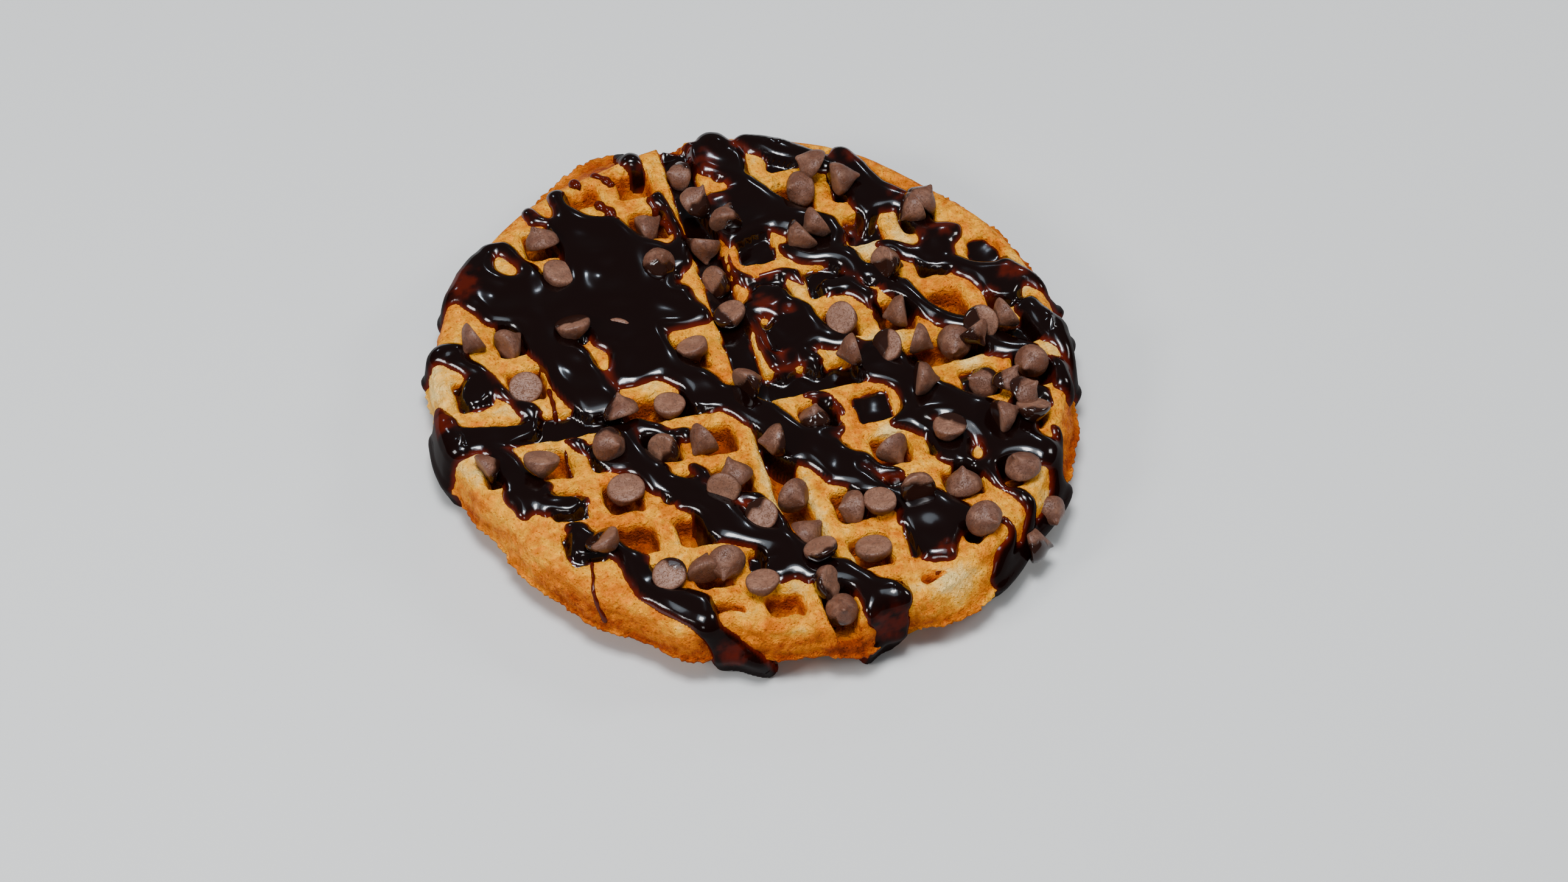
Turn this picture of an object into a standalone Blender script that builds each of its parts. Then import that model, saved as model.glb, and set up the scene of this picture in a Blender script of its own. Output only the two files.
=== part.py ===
"""Round waffle in four quarters, with thick chocolate sauce and chocolate chips, as one solid.

Metres, +Z up. The waffle lies on its underside. While it is built, the origin is below the
crossing of the grooves between the quarters, with X along one groove and Y along the other.
At the end the solid is moved so that the origin is the bottom centre of its bounding box.
Lengths below are in millimetres until a mesh is made.
"""
import bpy
import bmesh
import math
from mathutils import Matrix, Vector

MM = 0.001

# Driving dimensions, in millimetres
THICKNESS = 22.0
SEAM_LEVEL = 10.0
TOP_CENTRE = (-1.0, 5.5)
TOP_RADIUS = 88.0
SEAM_CENTRE = (1.5, 8.0)
SEAM_RADIUS = 91.0
SHOULDER = 3.0
SHOULDER_DROP = 2.5
FLASH_HALF_THICKNESS = 0.7
WALL_SHARE = 0.7
UNDER_WALL_SHARE = 0.4
UNDER_SET_IN = 4.0
RIM_INSIDE_SEAM = 2.0
OUTLINE_STEPS = 72

POCKET_TOP = 10.4
POCKET_FLOOR = 7.8
POCKET_DEPTH = 8.0
POCKET_CORNER = 1.6
POCKET_TO_RIM = 4.0

GROOVE_TOP = 8.4
GROOVE_FLOOR = 4.6
GROOVE_DEPTH = 8.4
GROOVE_OVERRUN = 8.0

SAUCE_HEIGHT = 1.8
SAUCE_FOOT_DEPTH = 8.8
# A section of sauce: where its shoulder is, as shares of its half width and height
SAUCE_SHOULDER = (0.92, 0.55)
# A stroke's ends: how far they reach past the last place and their width, as shares of its width
SAUCE_END = (0.8, 0.45)
# Small steps of crown and foot, so that strokes that cross never share a plane
CROWN_STEP = 0.05
CROWN_STEPS = 9
FOOT_STEP = 0.06
FOOT_STEPS = 11
GROOVE_SAUCE_SPREAD = 0.6

CHIP_RADIUS = 4.8
CHIP_HEIGHT = 7.4
CHIP_SIDES = 6
CHIP_PROFILE = ((0.92, 0.0), (0.94, 0.3), (0.18, 1.0))
CHIP_MIDDLE = 0.4
CHIP_SHOWN = 0.35

CUT_OVERLAP = 1.0
FLAT_WITHIN = math.radians(1.5)

# The middle of each quarter's first pocket, its steps along a row and to the next row, and the
# number of pockets in each row
QUARTERS = {
    "front_left": ((-15.0, -14.0), (-15.2, 0.6), (1.25, -14.8), (5, 4, 4, 3, 2)),
    "front_right": ((14.0, -13.0), (15.5, 0.5), (0.8, -15.8), (5, 5, 4, 3, 2)),
    "rear_left": ((-15.5, 16.5), (-15.3, 0.0), (-0.3, 16.2), (5, 4, 4, 3, 2)),
    "rear_right": ((12.0, 17.0), (15.8, 0.2), (-0.2, 16.2), (5, 5, 4, 3, 2)),
}

# Where the batter spread past the seam or fell short of it: angle in degrees, extent, width
SEAM_SWELLINGS = (
    (107.0, 7.0, 12.0),
    (204.0, -2.2, 22.0),
    (246.0, 1.5, 7.0),
    (253.0, -2.5, 4.0),
    (273.0, 2.5, 5.0),
    (281.0, -2.5, 4.0),
    (293.0, 4.5, 9.0),
    (353.0, -2.0, 12.0),
)
SEAM_RIPPLES = ((13, 0.4, 2.1), (23, 0.4, 4.0))
TOP_RIPPLES = ((5, 0.8, 1.1), (11, 0.5, 3.2))

# The grooves' routes across the waffle
GROOVE_ROUTES = {
    "left_right": ((-92.0, 1.0), (-45.0, 0.0), (0.0, 0.0), (45.0, 0.8), (92.0, 4.5)),
    "front_rear": ((-3.0, 98.0), (-2.0, 50.0), (-0.8, 0.0), (0.0, -35.0), (5.0, -86.0)),
}

# Thick sauce as strokes: places along each one with the half width there
SAUCE_STROKES = (
    # Rear left pool and its arms
    ((-68, 56, 6), (-58, 50, 9), (-44, 47, 11), (-28, 50, 16), (-20, 46, 9)),
    ((-34, 63, 8), (-20, 60, 8)),
    ((-48, 40, 10), (-51, 28, 8), (-49, 18, 7), (-46, 8, 6), (-43, -2, 4)),
    ((-26, 38, 12), (-29, 22, 9), (-22, 12, 4), (-15, 5, 5), (-8, -3, 6), (-1, -10, 6)),
    ((-63, 66, 2), (-58, 63, 2.2), (-53, 56, 2.2)),
    ((-49, 80, 2), (-47, 75, 3), (-42, 70, 4)),
    ((-40, 82, 2), (-39, 77, 3), (-36, 70, 4)),
    ((-13, 74, 1.6), (-11, 64, 1.6), (-9, 56, 1.8)),
    ((-76, 27, 2), (-73, 20, 3), (-67, 13, 2.4), (-61, 6, 2.6), (-58, 0, 3)),
    # Rear right bands
    ((3, 74, 4), (12, 66, 8), (25, 57, 7), (33, 50, 7), (37, 44, 4), (42, 34, 3.5)),
    ((42, 34, 3.5), (47, 24, 3), (52, 16, 2.6), (62, 9, 3.2), (70, 0, 4), (77, -4, 3)),
    ((18, 88, 2.2), (24, 85, 3.5), (32, 81, 3), (42, 72, 2.2)),
    ((43, 77, 2.6), (46, 72, 4), (50, 66, 6.5), (57, 57, 3)),
    ((45, 44, 2.2), (52, 38, 3.2), (61, 37, 6.5), (68, 29, 3), (73, 22, 4.5), (80, 20, 4.5)),
    ((79, 12, 3.5), (82, 6, 4), (83, 2, 3)),
    ((10, 86, 5), (10, 79, 5)),
    ((3, 46, 2), (7, 40, 2), (16, 38, 1.8), (21, 33, 1.8)),
    ((17, 47, 2.2), (26, 43, 3.2), (33, 41, 3), (37, 35, 2.4)),
    ((11, 32, 4.6), (16, 22, 7), (25, 17, 6.5), (29, 11, 4)),
    ((28, 31, 4.2), (34, 29, 2.2), (38, 23, 1.8)),
    ((11, 50, 4.8), (11, 45, 4.8)),
    # Front right bands
    ((30, 4, 5), (37, -2, 5), (43, -10, 5), (50, -18, 5.5), (58, -24, 6), (61, -33, 6.5), (73, -37, 5)),
    ((34, -20, 2.6), (40, -22, 2.6), (44, -32, 4), (51, -39, 4.5), (60, -38, 4)),
    ((50, -41, 2.6), (57, -50, 2.8), (62, -58, 2.8)),
    ((64, -11, 4), (72, -15, 2.4), (75, -22, 2.6), (68, -27, 5)),
    ((3, -12, 6), (9, -22, 6.5), (15, -30, 6.5), (20, -38, 5), (30, -45, 5), (34, -54, 6.5), (33, -62, 5)),
    ((38, -48, 3), (45, -56, 3.4), (52, -59, 3), (51, -67, 4)),
    ((30, -10, 4.4), (30, -15, 4.4)),
    ((13, -5, 2), (15, -13, 4.6)),
    # Front left bands
    ((-42, -3, 4), (-39, -13, 6), (-34, -22, 6), (-27, -32, 7), (-19, -43, 8), (-11, -51, 6.5)),
    ((-11, -51, 6.5), (-5, -58, 6.5), (4, -67, 5.6), (12, -73, 6), (18, -76, 5)),
    ((-56, -4, 2.6), (-50, -10, 3.4), (-44, -15, 5)),
    ((-14, -32, 2.2), (-9, -37, 2.2), (-6, -45, 3)),
    ((-33, -4, 2), (-29, -10, 2.2), (-22, -12, 2)),
    ((-72, -2, 3.4), (-72, -14, 5), (-69, -23, 4.4), (-61, -27, 4.4), (-59, -41, 4.2)),
    ((-54, -41, 3), (-48, -47, 4), (-47, -57, 4), (-38, -63, 5), (-31, -71, 5)),
)

# Sauce standing in the grooves: route, share of it from one end to the other, level
SAUCE_IN_GROOVES = (
    ("left_right", 0.04, 0.32, 19.6),
    ("left_right", 0.5, 0.9, 18.4),
    ("front_rear", 0.05, 0.46, 18.8),
)

# Sauce that has run over the rim to the foot of the side: angle in degrees, half width
SAUCE_RUNS = (
    (251.0, 5.5), (282.0, 3.0), (304.0, 5.5), (316.0, 3.5), (329.0, 3.5),
    (357.0, 4.0), (178.0, 4.0), (147.0, 6.0), (90.0, 3.5),
)
RUN_THICKNESS = 1.5
RUN_ROOT = 6.5
RUN_EDGE_SET_BACK = 1.0
RUN_CROWN_SHARE = 0.6
# Levels of a run's sections and how far each is set back from the side
RUN_LEVELS = (
    (THICKNESS + 1.4, -3.5), (THICKNESS - 0.4, -0.4), (SEAM_LEVEL + 1.2, 0.0),
    (SEAM_LEVEL - 1.2, 0.0), (0.4, -1.6),
)

# Chocolate chips: place, how far the tip leans from straight up and which way, in degrees
CHIPS = (
    (-77, -10, 80, 20), (-64, -15, 150, 250), (-44, -13, 60, 300), (-43, -26, 178, 0),
    (-29, -14, 110, 45), (-20, -16, 100, 210), (-14, -29, 40, 120), (-17, -32, 120, 60),
    (-9, -43, 150, 40), (-53, -44, 140, 300), (-38, -57, 160, 60), (-29, -57, 85, 90),
    (-23, -59, 70, 260), (-15, -67, 165, 280), (-1, -21, 85, 180), (1, -40, 75, 300),
    (2, -50, 60, 20), (3, -60, 150, 300), (1, -69, 120, 150), (4, -77, 15, 250),
    (13, -12, 30, 80), (31, -30, 95, 290), (47, -28, 170, 250), (14, -46, 70, 180),
    (22, -48, 172, 260), (33, -45, 110, 90), (46, -45, 25, 100), (17, -61, 160, 270),
    (48, -61, 60, 280), (63, -44, 20, 120), (61, -11, 40, 190), (75, -10, 60, 230),
    (67, -15, 40, 60), (71, -27, 150, 250), (63, -27, 95, 10), (45, -10, 100, 350),
    (71, -21, 50, 0), (-32, 31.5, 150, 60), (-25, 0, 168, 250),
    (-39, 0, 50, 100), (-2, 1, 90, 30), (27, 4, 100, 180), (39, 5, 140, 30),
    (48, 4, 95, 330), (57, 3, 50, 250), (63, 3, 120, 300), (72, 7, 110, 200),
    (44, 17, 100, 170), (66, 7, 130, 60), (29, 17, 140, 30), (46, 34, 120, 20),
    (24, 48, 120, 200), (29, 51, 110, 200), (57, 51, 95, 200), (62, 54, 60, 30),
    (41, 67, 90, 10), (33, 73, 60, 150), (28, 67, 60, 200), (5, 59, 80, 80),
    (-1, 67, 40, 0), (-3, 53, 130, 250), (-4, 82, 60, 180), (-1, 41, 110, 30),
    (-1, 27, 160, 320), (-16, 65, 85, 10), (-16, 48, 40, 300), (-14, 17, 150, 300),
    (-47, 65, 150, 80), (-45, 52, 160, 200), (-45, 31, 150, 280), (-62, 16, 165, 90),
    (-63, 31, 95, 30), (-74, 33, 110, 200),
)
# Chips caught in the sauce on the side: place, level, lean and its direction
SIDE_CHIPS = ((70.0, -54.0, 12.5, 75, 280), (64.0, -62.5, 11.0, 85, 0))


def ring_point(centre, radius, angle):
    """A point on a circle in plan."""
    return Vector((centre[0] + radius * math.cos(angle), centre[1] + radius * math.sin(angle)))


def ripple(angle, ripples):
    """The sum of the named waves round the outline at an angle."""
    return sum(extent * math.sin(count * angle + phase) for count, extent, phase in ripples)


def seam_radius(angle):
    """Radius of the ragged seam at mid height: the circle, its waves and its swellings."""
    radius = SEAM_RADIUS + ripple(angle, SEAM_RIPPLES)
    for at, extent, width in SEAM_SWELLINGS:
        apart = (math.degrees(angle) - at + 180.0) % 360.0 - 180.0
        radius += extent * math.exp(-((apart / width) ** 2))
    return radius


def rim_radius(angle):
    """Radius of the top and bottom rims, which stay a little inside the seam."""
    out = Vector((math.cos(angle), math.sin(angle)))
    seam = ring_point(SEAM_CENTRE, seam_radius(angle), angle) - Vector(TOP_CENTRE)
    return min(TOP_RADIUS + ripple(angle, TOP_RIPPLES), seam.dot(out) - RIM_INSIDE_SEAM)


def outline(level, set_in, wall_share):
    """The body's ring of plan points at one named level of its side, with its rim set in."""
    points = []
    for step in range(OUTLINE_STEPS):
        angle = 2.0 * math.pi * step / OUTLINE_STEPS
        reach = rim_radius(angle) - set_in
        seam = ring_point(SEAM_CENTRE, seam_radius(angle), angle)
        rim = ring_point(TOP_CENTRE, reach, angle)
        inner = ring_point(TOP_CENTRE, reach - SHOULDER, angle)
        wall = rim.lerp(seam, wall_share)
        points.append({"seam": seam, "wall": wall, "rim": rim, "inner": inner}[level])
    return points


def mesh_object(name, bm, collection):
    """Makes an object of a bmesh whose lengths are in millimetres."""
    bmesh.ops.triangulate(bm, faces=bm.faces)
    bmesh.ops.recalc_face_normals(bm, faces=bm.faces)
    bmesh.ops.scale(bm, vec=(MM, MM, MM), verts=bm.verts)
    mesh = bpy.data.meshes.new(name)
    bm.to_mesh(mesh)
    bm.free()
    made = bpy.data.objects.new(name, mesh)
    collection.objects.link(made)
    return made


def loft(bm, rings):
    """Joins rings of the same number of points by faces and closes both ends."""
    made = [[bm.verts.new(point) for point in ring] for ring in rings]
    count = len(made[0])
    for lower, upper in zip(made, made[1:]):
        for here in range(count):
            after = (here + 1) % count
            bm.faces.new((lower[here], lower[after], upper[after], upper[here]))
    bm.faces.new(made[0])
    bm.faces.new(made[-1])


def make_body(collection):
    """The uncut waffle: flat faces, rounded shoulders and a thin seam, the underside set in."""
    under = (UNDER_SET_IN, UNDER_WALL_SHARE)
    upper = (0.0, WALL_SHARE)
    levels = (
        ("inner", 0.0, under), ("rim", SHOULDER_DROP, under),
        ("wall", SEAM_LEVEL - FLASH_HALF_THICKNESS, under), ("seam", SEAM_LEVEL, upper),
        ("wall", SEAM_LEVEL + FLASH_HALF_THICKNESS, upper),
        ("rim", THICKNESS - SHOULDER_DROP, upper), ("inner", THICKNESS, upper),
    )
    bm = bmesh.new()
    loft(bm, [[(p.x, p.y, z) for p in outline(name, *form)] for name, z, form in levels])
    return mesh_object("waffle", bm, collection)


def inside_rim(point, set_in):
    """The point, pulled in towards the middle where it comes too near the rim."""
    middle = Vector(TOP_CENTRE)
    away = point - middle
    limit = rim_radius(math.atan2(away.y, away.x)) - set_in - POCKET_TO_RIM
    return middle + away * min(1.0, limit / away.length)


def pocket_outline(width, corner, set_in, shift):
    """A square's corners, each cut off where a corner size is given, along the quarter's steps."""
    half = width / 2.0
    near = half - corner
    along, across, centre = shift
    flat = ((near, half), (half, near), (half, -near), (near, -half),
            (-near, -half), (-half, -near), (-half, near), (-near, half))
    if corner == 0.0:
        flat = flat[::2]
    return [inside_rim(centre + along * x + across * y, set_in) for x, y in flat]


def pocket_cutter(bm, shift, side):
    """A tapered cutter from just outside one face of the waffle down to the pocket's floor."""
    face = THICKNESS if side > 0 else 0.0
    taper = (POCKET_TOP - POCKET_FLOOR) / POCKET_DEPTH
    corner, set_in = (POCKET_CORNER, 0.0) if side > 0 else (0.0, UNDER_SET_IN)
    rings = []
    for depth in (-CUT_OVERLAP, POCKET_DEPTH):
        width = POCKET_TOP - taper * depth
        level = face - side * depth
        rings.append([(p.x, p.y, level) for p in pocket_outline(width, corner, set_in, shift)])
    loft(bm, rings)


def pocket_shifts():
    """Each pocket: its quarter's directions and its middle."""
    for first, step_x, step_y, row_lengths in QUARTERS.values():
        along = Vector(step_x).normalized()
        across = Vector(step_y).normalized()
        for row, length in enumerate(row_lengths):
            for column in range(length):
                yield along, across, Vector(first) + Vector(step_x) * column + Vector(step_y) * row


def make_pocket_cutters(collection):
    """Every pocket of both faces, as one cutter mesh for each face."""
    for side, name in ((1, "cut_pockets_top"), (-1, "cut_pockets_under")):
        bm = bmesh.new()
        for shift in pocket_shifts():
            pocket_cutter(bm, shift, side)
        mesh_object(name, bm, collection)


def route_points(route, start=0.0, end=1.0, steps=6):
    """Points evenly spaced by share along a route of straight runs."""
    points = [Vector(p) for p in route]
    last = len(points) - 1
    found = []
    for step in range(steps + 1):
        place = (start + (end - start) * step / steps) * last
        leg = min(int(place), last - 1)
        found.append(points[leg].lerp(points[leg + 1], place - leg))
    return found


def side_ways(points):
    """The unit vector to the left of the path at each of its points."""
    ways = []
    for here in range(len(points)):
        before = points[max(here - 1, 0)]
        after = points[min(here + 1, len(points) - 1)]
        along = (after - before).normalized()
        ways.append(Vector((-along.y, along.x)))
    return ways


def sweep(bm, points, sections):
    """Lofts a cross-section given as (sideways, level) pairs along a path in plan."""
    rings = []
    for point, way, section in zip(points, side_ways(points), sections):
        rings.append([(*(point + way * out), level) for out, level in section])
    loft(bm, rings)


def groove_section(top_width, floor_width, floor, top):
    """Four corners of a groove, wider at its open face."""
    return ((-floor_width / 2.0, floor), (floor_width / 2.0, floor),
            (top_width / 2.0, top), (-top_width / 2.0, top))


def make_groove_cutters(collection):
    """The grooves between the quarters, on both faces."""
    flare = (GROOVE_TOP - GROOVE_FLOOR) / GROOVE_DEPTH * CUT_OVERLAP
    for side in (1, -1):
        face = THICKNESS if side > 0 else 0.0
        for name, route in GROOVE_ROUTES.items():
            points = route_points(route, steps=8)
            points[0] += (points[0] - points[1]).normalized() * GROOVE_OVERRUN
            points[-1] += (points[-1] - points[-2]).normalized() * GROOVE_OVERRUN
            section = groove_section(GROOVE_TOP + flare, GROOVE_FLOOR,
                                     face - side * GROOVE_DEPTH, face + side * CUT_OVERLAP)
            bm = bmesh.new()
            sweep(bm, points, [section] * len(points))
            mesh_object(f"cut_groove_{name}_{side}", bm, collection)


def sauce_section(half_width, height, foot):
    """A low dome from the foot level to just above the waffle's face."""
    out, up = SAUCE_SHOULDER
    crown = THICKNESS + height
    edge = THICKNESS + up * height
    return ((-half_width, foot), (half_width, foot), (out * half_width, edge),
            (0.0, crown), (-out * half_width, edge))


def make_sauce(collection):
    """Each stroke of sauce, with narrow ends, filling the pockets that it covers."""
    reach, narrow = SAUCE_END
    foot_level = THICKNESS - SAUCE_FOOT_DEPTH
    for number, stroke in enumerate(SAUCE_STROKES):
        points = [Vector((x, y)) for x, y, _ in stroke]
        widths = [width for _, _, width in stroke]
        start = (points[0] - points[1]).normalized() * widths[0] * reach
        finish = (points[-1] - points[-2]).normalized() * widths[-1] * reach
        points = [points[0] + start, *points, points[-1] + finish]
        widths = [widths[0] * narrow, *widths, widths[-1] * narrow]
        height = SAUCE_HEIGHT + CROWN_STEP * (number % CROWN_STEPS)
        foot = foot_level - FOOT_STEP * (number % FOOT_STEPS)
        bm = bmesh.new()
        sweep(bm, points, [sauce_section(width, height, foot) for width in widths])
        mesh_object(f"sauce_{number}", bm, collection)
    for number, (name, start, end, level) in enumerate(SAUCE_IN_GROOVES):
        bm = bmesh.new()
        foot = foot_level - CUT_OVERLAP - 2.0 * FOOT_STEP * number
        section = groove_section(GROOVE_TOP, GROOVE_FLOOR + GROOVE_SAUCE_SPREAD, foot, level)
        points = route_points(GROOVE_ROUTES[name], start, end)
        sweep(bm, points, [section] * len(points))
        mesh_object(f"sauce_groove_{number}", bm, collection)


def make_runs(collection):
    """Sauce run down the side: level cross-sections that reach back into the body."""
    for number, (at, half_width) in enumerate(SAUCE_RUNS):
        angle = math.radians(at)
        out = Vector((math.cos(angle), math.sin(angle)))
        side = Vector((-out.y, out.x))
        middle = Vector(TOP_CENTRE)
        rim = rim_radius(angle)
        widest = (ring_point(SEAM_CENTRE, seam_radius(angle), angle) - middle).dot(out)
        rings = []
        for level, set_back in RUN_LEVELS:
            span = THICKNESS - SEAM_LEVEL if level > SEAM_LEVEL else SEAM_LEVEL
            share = 1.0 - abs(level - SEAM_LEVEL) / span
            reach = rim + (widest - rim) * max(share, 0.0) + RUN_THICKNESS + set_back
            root = rim - RUN_ROOT
            edge = reach - RUN_EDGE_SET_BACK
            crown = RUN_CROWN_SHARE * half_width
            section = ((-half_width, root), (-half_width, edge), (-crown, reach),
                       (crown, reach), (half_width, edge), (half_width, root))
            rings.append([(*(middle + out * r + side * t), level) for t, r in section])
        bm = bmesh.new()
        loft(bm, rings)
        mesh_object(f"sauce_run_{number}", bm, collection)


def covered_by_sauce(place):
    """True where a stroke of sauce covers a place."""
    for stroke in SAUCE_STROKES:
        for (x0, y0, r0), (x1, y1, r1) in zip(stroke, stroke[1:]):
            leg = Vector((x1 - x0, y1 - y0))
            share = max(0.0, min(1.0, (place - Vector((x0, y0))).dot(leg) / leg.length_squared))
            if (place - Vector((x0, y0)) - leg * share).length < r0 + (r1 - r0) * share:
                return True
    return False


def chip_mesh(lean, towards):
    """A turned drop about its own middle, with a flat base, a round side and a tip, leant over."""
    bm = bmesh.new()
    rings = []
    for out, up in CHIP_PROFILE:
        ring = []
        for side in range(CHIP_SIDES):
            angle = 2.0 * math.pi * (side + 0.5) / CHIP_SIDES
            ring.append((out * CHIP_RADIUS * math.cos(angle),
                         out * CHIP_RADIUS * math.sin(angle), (up - CHIP_MIDDLE) * CHIP_HEIGHT))
        rings.append(ring)
    loft(bm, rings)
    way = math.radians(towards)
    axis = Vector((-math.sin(way), math.cos(way), 0.0))
    turn = Matrix.Rotation(math.radians(lean), 4, axis)
    bmesh.ops.transform(bm, matrix=turn, verts=bm.verts)
    return bm


def make_chips(collection):
    """The chips on top, each sunk into what it lies on, and those caught on the side."""
    for number, (x, y, lean, towards) in enumerate(CHIPS):
        bm = chip_mesh(lean, towards)
        reach = -min(vertex.co.z for vertex in bm.verts)
        level = THICKNESS + (SAUCE_HEIGHT if covered_by_sauce(Vector((x, y))) else 0.0)
        bmesh.ops.translate(bm, vec=(x, y, level + CHIP_SHOWN * reach), verts=bm.verts)
        mesh_object(f"chip_{number}", bm, collection)
    for number, (x, y, level, lean, towards) in enumerate(SIDE_CHIPS):
        bm = chip_mesh(lean, towards)
        bmesh.ops.translate(bm, vec=(x, y, level), verts=bm.verts)
        mesh_object(f"side_chip_{number}", bm, collection)


def apply_boolean(target, collection, operation):
    """Cuts or joins every object of a collection in one step and applies it."""
    modifier = target.modifiers.new(operation.lower(), "BOOLEAN")
    modifier.operation = operation
    modifier.operand_type = "COLLECTION"
    modifier.collection = collection
    modifier.solver = "EXACT"
    graph = bpy.context.evaluated_depsgraph_get()
    mesh = bpy.data.meshes.new_from_object(target.evaluated_get(graph))
    target.modifiers.clear()
    target.data = mesh
    for used in list(collection.objects):
        bpy.data.objects.remove(used)
    bpy.data.collections.remove(collection)


def keep_outer_shell(target):
    """Fills hollows that the toppings sealed and drops loose scraps: only the largest shell stays.

    Faces that lie in one plane are then joined, so that flat stretches take few triangles.
    """
    bm = bmesh.new()
    bm.from_mesh(target.data)
    left = set(bm.verts)
    shells = []
    while left:
        shell = set()
        waiting = [left.pop()]
        while waiting:
            vertex = waiting.pop()
            shell.add(vertex)
            for edge in vertex.link_edges:
                other = edge.other_vert(vertex)
                if other in left:
                    left.remove(other)
                    waiting.append(other)
        shells.append(shell)
    shells.sort(key=len)
    for shell in shells[:-1]:
        bmesh.ops.delete(bm, geom=list(shell), context="VERTS")
    bmesh.ops.dissolve_limit(bm, angle_limit=FLAT_WITHIN, verts=bm.verts, edges=bm.edges)
    bmesh.ops.triangulate(bm, faces=bm.faces)
    bm.to_mesh(target.data)
    bm.free()


def new_collection(name):
    """A collection linked to the scene."""
    collection = bpy.data.collections.new(name)
    bpy.context.scene.collection.children.link(collection)
    return collection


def settle(target):
    """Puts the bottom centre of the solid's box at the origin."""
    corners = [Vector(corner) for corner in target.bound_box]
    low = Vector(min(c[i] for c in corners) for i in range(3))
    high = Vector(max(c[i] for c in corners) for i in range(3))
    shift = Vector((-(low.x + high.x) / 2.0, -(low.y + high.y) / 2.0, -low.z))
    target.data.transform(Matrix.Translation(shift))
    print("moved by (mm):", [round(value / MM, 3) for value in shift])


def crust_material():
    """Baked golden crust."""
    material = bpy.data.materials.new("golden_crust")
    material.use_nodes = True
    shader = material.node_tree.nodes["Principled BSDF"]
    shader.inputs["Base Color"].default_value = (0.78, 0.42, 0.12, 1.0)
    shader.inputs["Roughness"].default_value = 0.7
    shader.inputs["Metallic"].default_value = 0.0
    return material


def main():
    """Builds the waffle as one solid."""
    for old in list(bpy.data.objects):
        bpy.data.objects.remove(old)
    parts = new_collection("round_waffle")
    cutters = new_collection("cutters")
    toppings = new_collection("toppings")
    waffle = make_body(parts)
    make_pocket_cutters(cutters)
    make_groove_cutters(cutters)
    apply_boolean(waffle, cutters, "DIFFERENCE")
    make_sauce(toppings)
    make_runs(toppings)
    make_chips(toppings)
    apply_boolean(waffle, toppings, "UNION")
    keep_outer_shell(waffle)
    settle(waffle)
    waffle.data.materials.clear()
    waffle.data.materials.append(crust_material())
    waffle.data.shade_flat()
    return waffle


main()
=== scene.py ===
"""Looks of the round waffle: golden crust in four quarters, thick dark chocolate sauce and chips.

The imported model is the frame. Everything is worked out in millimetres in the waffle's own plan,
whose origin is the crossing of the grooves, with X along one groove and Y along the other, and
is moved into the row's frame, in metres, when a mesh is made.
"""
import logging
import math
from dataclasses import dataclass
from enum import Enum
from typing import Any, Optional, Sequence

import bpy
import numpy as np
from bpy.types import ColorRamp, Material, Node, NodeSocket
from mathutils import Matrix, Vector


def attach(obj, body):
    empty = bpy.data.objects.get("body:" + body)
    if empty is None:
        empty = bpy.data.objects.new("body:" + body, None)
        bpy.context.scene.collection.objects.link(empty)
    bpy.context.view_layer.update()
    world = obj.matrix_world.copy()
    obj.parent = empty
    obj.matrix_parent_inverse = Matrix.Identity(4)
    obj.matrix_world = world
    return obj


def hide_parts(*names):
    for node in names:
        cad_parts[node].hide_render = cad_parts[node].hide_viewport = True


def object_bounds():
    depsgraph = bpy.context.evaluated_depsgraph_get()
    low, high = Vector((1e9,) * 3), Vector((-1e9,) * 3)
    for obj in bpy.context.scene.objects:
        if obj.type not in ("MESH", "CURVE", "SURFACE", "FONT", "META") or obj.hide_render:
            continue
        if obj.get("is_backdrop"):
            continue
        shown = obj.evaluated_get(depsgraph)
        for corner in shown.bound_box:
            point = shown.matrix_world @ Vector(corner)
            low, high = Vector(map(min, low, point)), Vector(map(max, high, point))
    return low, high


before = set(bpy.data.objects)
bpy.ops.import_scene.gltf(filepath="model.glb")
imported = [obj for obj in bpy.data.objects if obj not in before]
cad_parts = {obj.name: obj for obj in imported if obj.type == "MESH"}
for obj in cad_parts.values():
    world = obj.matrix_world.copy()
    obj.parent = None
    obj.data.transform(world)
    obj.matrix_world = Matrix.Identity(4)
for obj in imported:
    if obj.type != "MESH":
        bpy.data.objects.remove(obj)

LOG = logging.getLogger("round_waffle")
MM = 0.001
NODE = "waffle"
BODY = "root"
PLAN_SHIFT = np.array([-1.14, -8.847, 0.0])
# Corner order that turns a face of four corners over
TURNED = [0, 3, 2, 1]

Array = np.ndarray
Colour = tuple[float, float, float]
Outline = Sequence[tuple[float, float]]
Stroke = Sequence[tuple[float, float, float]]
Waves = Sequence[tuple[float, float, int]]


# Small functions on arrays

def ease(share: Array) -> Array:
    """Smooth step: 3 s^2 - 2 s^3 of the share held between 0 and 1."""
    held = np.clip(share, 0.0, 1.0)
    return held * held * (3.0 - 2.0 * held)


def soft_max(first: Array, second: Array, width: float) -> Array:
    """The larger of two values, rounded over a width where they are nearly equal.

    Args:
        first: One field.
        second: The other field.
        width: Difference below which the two blend.

    Returns:
        max(a, b) + (width - |a - b|)^2 / (4 width) where the fields are closer than the width.
    """
    near = np.maximum(width - np.abs(first - second), 0.0)
    return np.maximum(first, second) + near * near / (4.0 * width)


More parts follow.
